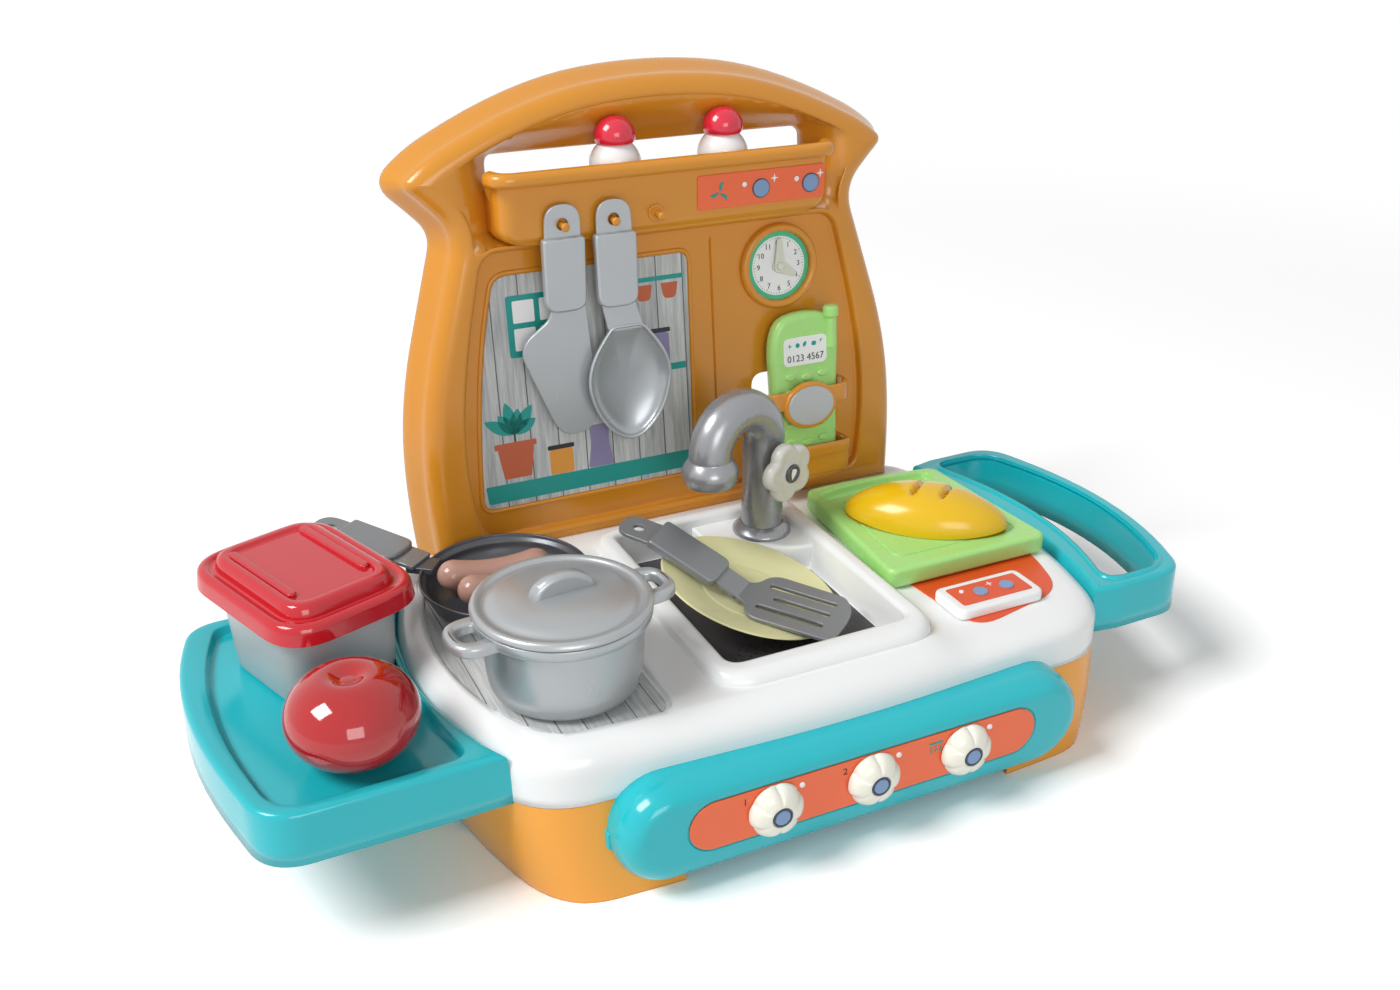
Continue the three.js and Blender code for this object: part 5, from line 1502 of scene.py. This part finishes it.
bend = np.linspace(0, np.pi, 25)
arch = np.stack([BEND - BEND * np.cos(bend), 0 * bend, COLUMN_TOP + BEND * np.sin(bend)], 1)
column = [(0, 0, z) for z in np.linspace(0.3, COLUMN_TOP - 2, 12)]
tap = Skin().wall(tube_rows([*column, *arch, (2 * BEND, 0, COLUMN_TOP - 0.6)], NECK, 48))
mouth = soft_path([(NECK, 67.4), (13.5, 66.6, 0.8), (15.2, 64.4, 1.4), (17.9, 60, 4), (17.7, 54, 3),
                   (16.2, 50, 1.4), (11.2, 50, 0.6), (11, 66), (0, 66)], arc=4)
lathe(mouth, 48, skin=tap, at=(2 * BEND, 0))
tap.wall([level(ring(radius), 0.3) for radius in (0.01, NECK)])
boss = lathe([(0, 11), (7, 11), (7, 17.6), (0, 17.6)], 32).moved(Place((0, 0, 49), turned(-90)))
piece("tap", add_skin(tap, boss), "tap_spout", TAP_GREY, ["tap_body"], sharp=50, place=TAP)


# %% The flower handle
FLOWER = Place((0, 18, 49.8), turned(-90), on=TAP)
petal = np.linspace(0, 2 * np.pi, 120, endpoint=False)
lobes = 14.6 + 5.6 * (np.cos(2.5 * petal) ** 2 + 0.02) ** 0.3
flower_plan = lobes[:, None] * np.stack([np.cos(petal), np.sin(petal)], 1)
flower = Skin()
petals = [(1.6, 0), (0.6, 0.4), (0, 1.5), (0, 4.2), (0.5, 6.2), (1.6, 7.4), (3.2, 8), (5.0, 7.7), (6.6, 6.9)]
flower.wall([level(grow(flower_plan, -inset), z) for inset, z in petals])
flower.cap([grow(flower_plan, -1.6)], 0)
HUB = 8.4
add_skin(flower, lathe([(HUB, 7.1), (7.6, 7.9), (6.9, 8.2), (6.4, 8.1), (6.3, 7.6), (0, 7.6)], 60))
flower.cap([grow(flower_plan, -6.6), ring(HUB, count=60)],
           lambda x, y: np.where(np.hypot(x, y) < HUB + 0.1, 7.1, 6.9))
piece("flower", flower, "tap_flower", CREAM, ["tap_handle"], sharp=60, place=FLOWER)
cap_rows = soft_path([(0, 8.3), (6.1, 8.3), (6.1, 9.2, 0.5), (4.9, 9.6, 0.3), (4.3, 9.1, 0.3),
                      (0, 9.1)], arc=3)
piece("flower_cap", lathe(cap_rows, 48), "tap_flower", PAN_DARK, ["tap_handle_cap"], sharp=60,
      place=FLOWER)
drop = outline([(0, -3.6, 2.6), (2.3, -3.0, 1.6), (2.0, 0.4, 1.4), (0.1, 4.0), (-0.1, 4.0), (-2.0, 0.4, 1.4),
                (-2.3, -3.0, 1.6)])
piece("flower_drop", plate(spun(drop, -18), 9.12, 9.4, edge=0.1), "tap_flower", PRINT_WHITE,
      place=FLOWER)

# %% [markdown]
# The pot and its lid. Both are turned profiles. The pot's two loops are plates with a hole, rooted inside the
# wall, and the lid's grip is half an ellipse that stands on its crown.

# %% The pot and its lid
POT = Place((-142.5, -69.5, 90.8), turned(0, 0, 6))
POT_HEIGHT = 50.0
pot_profile = soft_path([
    (0, 0), (33, 0, 3), (39.4, 2.4, 3), (41.8, 8, 4), (42.8, 16, 8), (44, 42.6, 1.2), (47.3, 43.4, 1.2),
    (48.6, 46.6, 2), (48.3, POT_HEIGHT, 0.9), (45.4, POT_HEIGHT, 0.9), (43.4, 46, 3), (41.6, 41, 6),
    (40, 14, 6), (37, 5, 4), (31, 2.4, 3), (0, 2.4),
])
pot = lathe(pot_profile, 96)


def ear(sign):
    """A loop of the pot: a band round a hole, rounded on every edge and rooted inside the wall."""
    outer = outline([(43.6, -16.5), (65.5, -16.5, 15), (65.5, 16.5, 15), (43.6, 16.5)], arc=8, side=6)
    hole = outline([(46.5, -8.2, 4), (59.6, -8.2, 7), (59.6, 8.2, 7), (46.5, 8.2, 4)], arc=8, side=6)
    band = plate(outer, POT_HEIGHT - 7.2, POT_HEIGHT - 0.6, edge=2.6, under=1.2, holes=[hole], steps=5)
    return band.moved(lambda points: points * (sign, sign, 1))


for sign in (1, -1):
    add_skin(pot, ear(sign))
piece("pot", pot, "pot_body", POT_SILVER, ["pot"], sharp=45, place=POT)

# %% The pot's lid
LID = Place((0, 0, POT_HEIGHT + 0.3), on=POT)
lid_profile = soft_path([
    (0, 1.6), (36, 0, 6), (48.4, 0, 1), (49.2, 1.6, 1), (47.6, 4.4, 1.6), (44.6, 4.5, 1.4), (42.8, 2.9, 1.2),
    (40.2, 2.8, 1.6), (36, 5.0, 2.6), (20, 8.2, 12), (0, 9.0),
])
lid = lathe(lid_profile, 96)
swing = np.linspace(0, np.pi, 25)
FIN_LONG, FIN_HIGH, FIN_FOOT = 18.5, 14.0, 5.4
fin_rows = []
for scale, side in ((0.8, -4.3), (0.93, -4.0), (1.0, -2.9), (1.0, 2.9), (0.93, 4.0), (0.8, 4.3)):
    x, z = FIN_LONG * scale * np.cos(swing), FIN_FOOT + FIN_HIGH * scale * np.sin(swing)
    fin_rows.append(np.stack([x, 0 * swing + side, z], 1))
fin = Skin().wall(fin_rows)
for line in (fin_rows[0], fin_rows[-1]):
    fin.patch(line, [tuple(range(len(line)))])
piece("pot_lid", add_skin(lid, fin), "pot_lid_body", POT_SILVER, ["pot_lid"], sharp=45, place=LID)

# %% [markdown]
# The pan and the tools share one grip: a flat tab with a hole to hang it by, then a thicker sleeve with
# rounded ends. Grip places run along +y from the hole, and z points out of the face that carries the sleeve.

# %% The shared grip
SHEET = 1.3


def tool_grip(blade):
    """Tab, sleeve and a flat blade that starts under the sleeve."""
    hole = ring(3.5, count=32)
    tab = outline([(-11, -12, 11), (11, -12, 11), (11.6, 9), (-11.6, 9)], arc=9)
    grip = plate(tab, -SHEET, SHEET, edge=0.5, under=0.5, holes=[hole], steps=2)
    sleeve = outline([(-13.6, 8, 2.5), (13.6, 8, 2.5), (13.2, 50, 5), (9, 54, 6), (-9, 54, 6),
                      (-13.2, 50, 5)], arc=6)
    add_skin(grip, plate(sleeve, -SHEET - 0.2, 4.0, edge=1.5, under=0.4, steps=4))
    return add_skin(grip, plate(blade, -SHEET, SHEET, edge=0.5, under=0.5, steps=2))


# %% The pan and its handle
PAN = Place((-142.5, 33.4, 90.8))
pan_profile = soft_path([
    (0, 0), (41, 0, 2), (44.4, 2, 2), (51.6, 16.4, 0.5), (51.5, 17.5, 0.5), (50.2, 17.5, 0.5),
    (49.6, 15.5, 0.6), (47.4, 13.6, 0.8), (46.4, 9.6, 2), (43, 4, 3), (39.5, 2.1, 3), (0, 2),
])
pan = lathe(pan_profile, 96)
lug = plate(rounded_box(15, 18, 1.5, 0, 52), 14.2, 18.4, edge=0.8, under=0.4)
add_skin(pan, lug.moved(Place(turn=turned(0, 0, 52.9))))
piece("pan", pan, "pan_body", PAN_DARK, ["pan"], sharp=45, place=PAN)

PAN_GRIP = Place((-85.2, 82.3, 27.6), turned(0, 0, 220.4) @ turned(-7.5), on=PAN)
neck = outline([(-10, 50), (10, 50), (10, 66.8, 1.5), (-10, 66.8, 1.5)])
piece("pan_handle", tool_grip(neck), "pan_body", TOOL_GREY, ["pan_handle"], sharp=45,
      place=PAN_GRIP)

# %% [markdown]
# The sausages are hollow plastic rods with round ends, bent a little. A tube along a parabola is enough: its
# radius stays the same up to the ends and then follows a quarter circle, and its line is z = 0.005 x^2.

# %% Two sausages
SAUSAGE_HALF, SAUSAGE_RADIUS = 25.0, 9.4
end_turn = np.linspace(0, np.pi / 2, 7)[1:]
end_x, end_radius = SAUSAGE_HALF + SAUSAGE_RADIUS * np.sin(end_turn), SAUSAGE_RADIUS * np.cos(end_turn)
middle_x = np.linspace(-SAUSAGE_HALF, SAUSAGE_HALF, 14)
length = np.concatenate([-end_x[::-1], middle_x, end_x])
thickness = np.concatenate([end_radius[::-1], SAUSAGE_RADIUS + 0 * middle_x, end_radius])
sausage_line = np.stack([length, 0 * length, 0.005 * length**2], 1)
for number, (x, y) in enumerate([(-145.5, 44.5), (-139.5, 22.0)]):
    rod = tube(sausage_line, np.maximum(thickness, 0.01), 36)
    piece(f"sausage_{number + 1}", rod, f"sausage_{number + 1}_body", SAUSAGE_PINK, [f"sausage_{number + 1}"],
          sharp=60, place=Place((x, y, 102.5), turned(0, 0, -8)))

# %% [markdown]
# The storage box and the tomato stand on the tray. The box is one outline whose walls spread upwards. Its
# longer lid has a rim that hangs over, a groove, and a raised middle with a sunken top between two ribs.

# %% The storage box and its lid
BOX = Place((-258.7, 33, 82.7), turned(0, 0, 20))
BOX_HEIGHT, BOX_SPREAD = 51.0, 1.08


def box_rows(inset, heights, bottom_shrink):
    """Loops of the box's walls. Their size grows by BOX_SPREAD from the bottom to the top."""
    rows = []
    for z, extra in zip(heights, bottom_shrink):
        scale = 1 + (BOX_SPREAD - 1) * z / BOX_HEIGHT
        loop = rounded_box(68 - 2 * inset, 82 - 2 * inset, 22 - inset / 2, arc=9)
        rows.append(level(grow(loop, -extra) * scale + (-3.8, -9), z))
    return rows


tub = Skin()
outer_rows = box_rows(0, (0, 0.4, 1.4, 3, 20, 36, BOX_HEIGHT - 0.5, BOX_HEIGHT),
                      (3.4, 1.8, 0.5, 0, 0, 0, 0, 0.4))
inner_rows = box_rows(2.4, (BOX_HEIGHT, BOX_HEIGHT - 0.5, 20, 5, 2.8), (-0.2, 0, 0, 0.6, 3.0))
tub.wall([*outer_rows, *inner_rows])
for rows, z in ((outer_rows[0], 0), (inner_rows[-1], 2.8)):
    tub.cap([rows[:, :2]], z)
piece("storage_box", tub, "box_body", BOX_GREY, ["storage_box"], sharp=45, place=BOX)

# %% The box's lid
BOX_LID = Place((0, 0, BOX_HEIGHT + 0.3), on=BOX)
rim_plan = rounded_box(88, 118, 28, arc=10, side=6)
crown_plan = rounded_box(67, 96, 18, arc=10, side=6)
sunk_plan = rounded_box(52, 80, 11, arc=10, side=6)
GROOVE_FLOOR, CROWN_TOP, SUNK_FLOOR = 1.6, 9.5, 7.5
rim_steps = [(-2.4, 0), (-2.4, -7.6), (-1.8, -8.2), (-0.4, -8.2), (0.3, -7.6), (0.1, -6.4), (-0.6, -1),
             (-1.2, 1.4), (-2.4, 2.9), (-4.4, 3.6), (-6.0, 3.5), (-7.0, 2.6), (-7.8, 1.8),
             (-8.8, GROOVE_FLOOR)]
crown_steps = [(1.2, GROOVE_FLOOR), (0.4, 2.0), (-0.1, 3.4), (-0.6, 6.0), (-1.8, 8.2), (-3.4, 9.3),
               (-5.0, CROWN_TOP)]
sunk_steps = [(0.8, CROWN_TOP), (0.2, 9.3), (-0.4, 8.4), (-1.0, 7.7), (-1.8, SUNK_FLOOR), (-2.8, SUNK_FLOOR)]
box_lid = Skin()
ends = []
for plan, steps in ((rim_plan, rim_steps), (crown_plan, crown_steps), (sunk_plan, sunk_steps)):
    rows = [level(grow(plan, out), z) for out, z in steps]
    box_lid.wall(rows)
    ends += [rows[0][:, :2], rows[-1][:, :2]]
for loops, z in ((ends[:1], 0), (ends[1:3], GROOVE_FLOOR), (ends[3:5], CROWN_TOP), (ends[5:], SUNK_FLOOR)):
    box_lid.cap(loops, z)
for side in (1, -1):
    bar = spun(stadium(34, 2.8, count=12), 90, (side * 22.5, 4))
    add_skin(box_lid, plate(bar, SUNK_FLOOR - 0.1, CROWN_TOP + 0.4, edge=1.2))
piece("box_lid", box_lid, "box_lid_body", LID_RED, ["box_lid"], sharp=40, place=BOX_LID)

# %% [markdown]
# The tomato is a flattened ball. Its profile is r = R cos(t)^0.92 and z = H sin(t), and a dimple
# 6.5 exp(-(r / 8.5)^2) is taken off the crown, where a small scar sits. Turning a formula gives the dimple
# and the belly in one go, where a squashed sphere would need both modelled by hand.

# %% The tomato
TOMATO = Place((-258, -73, 107.8))
latitude = np.linspace(-1.3, np.pi / 2, 40)
BALL_RADIUS, BALL_HALF = 34.5, 26.0
ball_r, ball_z = BALL_RADIUS * np.cos(latitude) ** 0.92, BALL_HALF * np.sin(latitude)
ball_z = ball_z - 6.5 * np.exp(-((ball_r / 8.5) ** 2)) * (latitude > 0)
tomato = lathe(np.stack([ball_r, ball_z], 1), 72)
tomato.cap([ring(ball_r[0], count=72)], ball_z[0])
scar = lathe(soft_path([(4.6, 18.8), (4.4, 20.6, 0.8), (0, 21.0)], arc=3), 72)
scar.cap([ring(4.6, count=72)], 18.8)
piece("tomato", add_skin(tomato, scar), "tomato_body", TOMATO_RED, ["tomato"], sharp=60, place=TOMATO)

# %% [markdown]
# In the sink lies a plate, tilted on the sink's rim, with the slotted turner resting on it. The turner is one
# sheet that bends: its blade is level, and its neck and grip rise by 20 degrees.

# %% The plate and the turner
PLATE = Place((-4.5, -22.5, 94.8), turned(7.4) @ turned(0, 14.3))
plate_profile = soft_path([
    (0, -10.6), (16, -9.8, 6), (32, -6.6, 8), (45, -3.2, 5), (56, -1.7, 0.6), (57.2, -0.9, 0.5),
    (56, -0.1, 0.5), (46, -1.5, 4), (34, -4.6, 5), (30.5, -5.6, 1), (29, -5.5, 1), (16, -8.2, 6), (0, -9),
])
piece("plate", lathe(plate_profile, 96), "plate_body", PLATE_CREAM, ["plate"], sharp=50,
      place=PLATE)

# %% The turner
TURNER = Place((-12.6, -28, 95), turned(5.8) @ turned(0, 0, 39))
TURNER_SLOTS = ((-11.5, -13.0), (0.0, -20.0), (11.5, -13.0))
blade = outline([(-23, -66, 4), (-8, -68, 12), (12, -66.5, 8), (22.5, -58, 4), (23.5, -10, 9), (12, -6, 3),
                 (9, -2, 3), (9, 6), (-9, 6), (-9, -2, 3), (-12, -6, 3), (-23.5, -10, 9)], arc=6)
slots = [rounded_box(3.8, 56 + start, 1.8, x, (start - 56) / 2, arc=5) for x, start in TURNER_SLOTS]
turner = plate(blade, -SHEET, SHEET, edge=0.5, under=0.5, holes=slots, steps=2)
neck = plate(rounded_box(18, 30, 2, 0, 9), -SHEET, SHEET, edge=0.4)
sleeve_plan = outline([(-13.5, 16, 6), (13.5, 16, 6), (13.5, 64, 3), (-13.5, 64, 3)], arc=7)
sleeve = plate(sleeve_plan, -SHEET, 3.8, edge=1.4, under=0.5)
tab_plan = outline([(-11, 0), (11, 0), (11, 28, 11), (-11, 28, 11)], arc=9)
tab = plate(tab_plan, -SHEET, SHEET, edge=0.5, under=0.5, holes=[ring(3.5, 0, 16, count=32)], steps=2)
for part, place in ((neck, Place(turn=turned(23))), (sleeve, Place(turn=turned(20))),
                    (tab, Place((0, 56, 20.6), turned(4)))):
    add_skin(turner, part.moved(place))
piece("turner", turner, "turner_body", TOOL_GREY, ["turner"], sharp=45, place=TURNER)

# %% [markdown]
# The spatula and the spoon hang by their holes. The spoon's bowl is half an ellipsoid with a thin wall: a
# row at a share s of its rim lies at depth 11 sqrt(1 - s^2).

# %% The spatula
SPATULA = Place((-74.5, 95, 298.6), turned(90) @ turned(0, 0, 180))
spatula_blade = outline([(9, 50), (10, 58, 5), (32, 74, 12), (17, 112, 14), (6, 138, 14), (-19, 134, 14),
                         (-17, 92, 10), (-14, 62), (-13, 50)], arc=8)
piece("flat_spatula", tool_grip(spatula_blade), "spatula_body", SILVER, ["flat_spatula"],
      sharp=45, place=SPATULA)

# %% The spoon
SPOON = Place((-42, 93.4, 298.6), turned(86.4) @ turned(0, 0, 180))
BOWL, BOWL_DEPTH = np.array([-6.0, 106.0]), 11.0
bowl_plan = outline([(-16, 66.5, 4), (5, 66.5, 4), (25, 92, 24), (18, 127, 26), (-6, 147, 24), (-30, 127, 26),
                     (-37, 92, 24)], arc=9, side=4)


def bowl_row(share, wall):
    """A loop of the bowl: its rim shrunk towards the middle, at the depth of that share."""
    flat = BOWL + (grow(bowl_plan, -wall) - BOWL) * share
    return level(flat, 1.2 - (BOWL_DEPTH - wall) * math.sqrt(max(0.0, 1 - share**2)))


shares = np.sin(np.linspace(0.01, np.pi / 2, 16))
bowl = [bowl_row(share, 0.0) for share in shares]
rim = [bowl_row(1.0, 0.0) + (0, 0, 0.7), bowl_row(1.0, 0.6) + (0, 0, 1.1), bowl_row(1.0, 1.6) + (0, 0, 0.9)]
inner = [bowl_row(share, 2.0) + (0, 0, 0.2) for share in shares[::-1]]
spoon_neck = outline([(-11, 50), (11, 50), (7, 70, 3), (-17, 70, 3)], arc=6)
spoon = add_skin(tool_grip(spoon_neck), Skin().wall([*bowl, *rim, *inner]))
piece("spoon", spoon, "spoon_body", SILVER, ["spoon"], sharp=50, place=SPOON)

# %% [markdown]
# The cutting board narrows towards the back, where a groove for the fingers is pressed in. A thin line is
# cut round its face. The groove and the line are walls between loops in the face, so their edges stay crisp
# and round, where a boolean would leave ragged triangles.

# %% The cutting board
BOARD = Place((133, 3, 89.2))
BOARD_THICK = 13.0
board_plan = outline([(-59.5, -61, 7), (59.5, -61, 7), (52, 58, 8), (0, 66, 50), (-50, 64, 9)], arc=9, side=6)
groove = outline([(-43, 42, 5), (0, 45.5, 28), (42, 42, 5), (43, 52, 5), (0, 58.5, 28), (-44, 53, 5)], arc=6)
board = Skin()
board_rows = [(2.4, 0), (0.9, 0.5), (0, 2), (0, BOARD_THICK - 3)]
board_rows += [(inset, BOARD_THICK - drop) for inset, drop in quarter(3.0, 6)[::-1]]
board_rows += [(3.8, BOARD_THICK)]
board.wall([level(grow(board_plan, -inset), z) for inset, z in board_rows])
board.cap([grow(board_plan, -2.4)], 0)
groove_rows = [(1.8, 0), (1.0, 0), (0.4, 0.3), (0, 1.0), (-0.5, 3.4), (-1.6, 4.8), (-2.4, 5.0)]
board.wall([level(grow(groove, out), BOARD_THICK - drop) for out, drop in groove_rows])
board.cap([grow(groove, -2.4)], BOARD_THICK - 5.0)

# %% The line in the board's face
line_plan = outline([(-46, -46, 7), (46, -46, 7), (40, 33.5, 9), (0, 36.5, 40), (-40, 34.5, 9)],
                    arc=9, side=6)
line_rows = [(2.0, 0), (1.0, 0), (0.5, -0.9), (-0.3, -0.9), (-0.9, 0), (-2.2, 0)]
board.wall([level(grow(line_plan, out), BOARD_THICK + rise) for out, rise in line_rows])
board.cap([grow(board_plan, -3.8), grow(line_plan, 2.0), grow(groove, 1.8)], BOARD_THICK)
board.cap([grow(line_plan, -2.2)], BOARD_THICK)
piece("cutting_board", board, "board_body", GREEN, ["cutting_board"], sharp=45, place=BOARD)

# %% [markdown]
# The bread is one grid over half an ellipsoid. A point at x along it and angle a round it has the size
# sqrt(1 - x^2) (1 - 0.16 x^2), which draws the tips in. Each cut lowers the grid by 6 mm along a slanting
# line and fades out towards its ends.

# %% The bread
BREAD = Place((131.5, -8, 89.2 + BOARD_THICK + 0.3), turned(0, 0, -40))
BREAD_LONG, BREAD_WIDE, BREAD_HIGH, CUT_DEPTH = 53.0, 27.0, 22.5, 6.0
along, round_it = np.meshgrid(np.linspace(-1, 1, 81), np.linspace(-0.12, np.pi + 0.12, 61), indexing="ij")
taper = np.sqrt(np.maximum(0, 1 - along * along)) * (1 - 0.16 * along * along)
wide, high = BREAD_WIDE * taper * np.cos(round_it), 2.7 + BREAD_HIGH * taper * np.sin(round_it)
cut_length = smooth_step(-13, -5, wide) * (1 - smooth_step(18, 22, wide))
for centre in (-0.12, 0.24):
    aside = np.abs(along - centre - 0.12 * (wide / BREAD_WIDE)) * BREAD_LONG
    high = high - CUT_DEPTH * np.clip(1 - aside / 2.6, 0, 1) * cut_length
crust = np.stack([BREAD_LONG * along, wide, np.maximum(high, 0)], -1)
bread = Skin().wall(crust, closed=False)
under_line = np.concatenate([crust[:, 0], crust[-2:0:-1, -1]])
bread.cap([under_line[:, :2]], 0.0)
piece("bread", bread, "bread_body", BREAD_YELLOW, ["bread"], sharp=50, place=BREAD)

# %% [markdown]
# The two shakers are waisted bottles with domed caps. Both parts are turned profiles, so a bottle and its cap
# share an axis. The seven holes are not cut: darker red discs just above the dome stand for them as painted
# shade, one in the middle and six round it.

# %% The two shakers
BOTTLE = soft_path([
    (0, 0), (14.6, 0, 0.6), (15.4, 1, 0.8), (16.2, 36, 8), (16, 41.4, 2.5), (13.6, 46, 2), (10.6, 49.4, 0.8),
    (10, 50), (0, 50),
])
DOME = soft_path([
    (0, 0), (11.8, 0, 0.5), (13, 2.6, 1), (12.8, 7, 2.4), (10, 12, 3), (5.6, 15.2, 3), (0, 16),
])
HOLE_RING = 4.4
hole_angles = [k * math.pi / 3 for k in range(6)]
HOLES = [(0.0, 0.0, 16.0), *[(HOLE_RING * math.cos(a), HOLE_RING * math.sin(a), 14.8) for a in hole_angles]]
for number, x in enumerate((-30.0, 43.5)):
    body, standing = f"shaker_{number + 1}_body", Place((x, 117.2, 288.8))
    capped = Place((0, 0, 50.3), on=standing)
    piece(f"shaker_{number + 1}", lathe(BOTTLE, 64), body, WHITE, [f"shaker_{number + 1}"], sharp=50,
          place=standing)
    piece(f"shaker_cap_{number + 1}", lathe(DOME, 64), body, CAP_RED, [f"shaker_cap_{number + 1}"],
          sharp=60, place=capped)
    # Darker red discs as painted shade in place of the seven holes.
    holes = Skin()
    for hole_x, hole_y, top in HOLES:
        plate(ring(0.8, hole_x, hole_y, count=12), top - 0.6, top + 0.15, edge=0, skin=holes)
    piece(f"shaker_hole_shade_{number + 1}", holes, body, LID_RED, place=capped)

# %% [markdown]
# The last cell imports json.

# %% The last import
import json
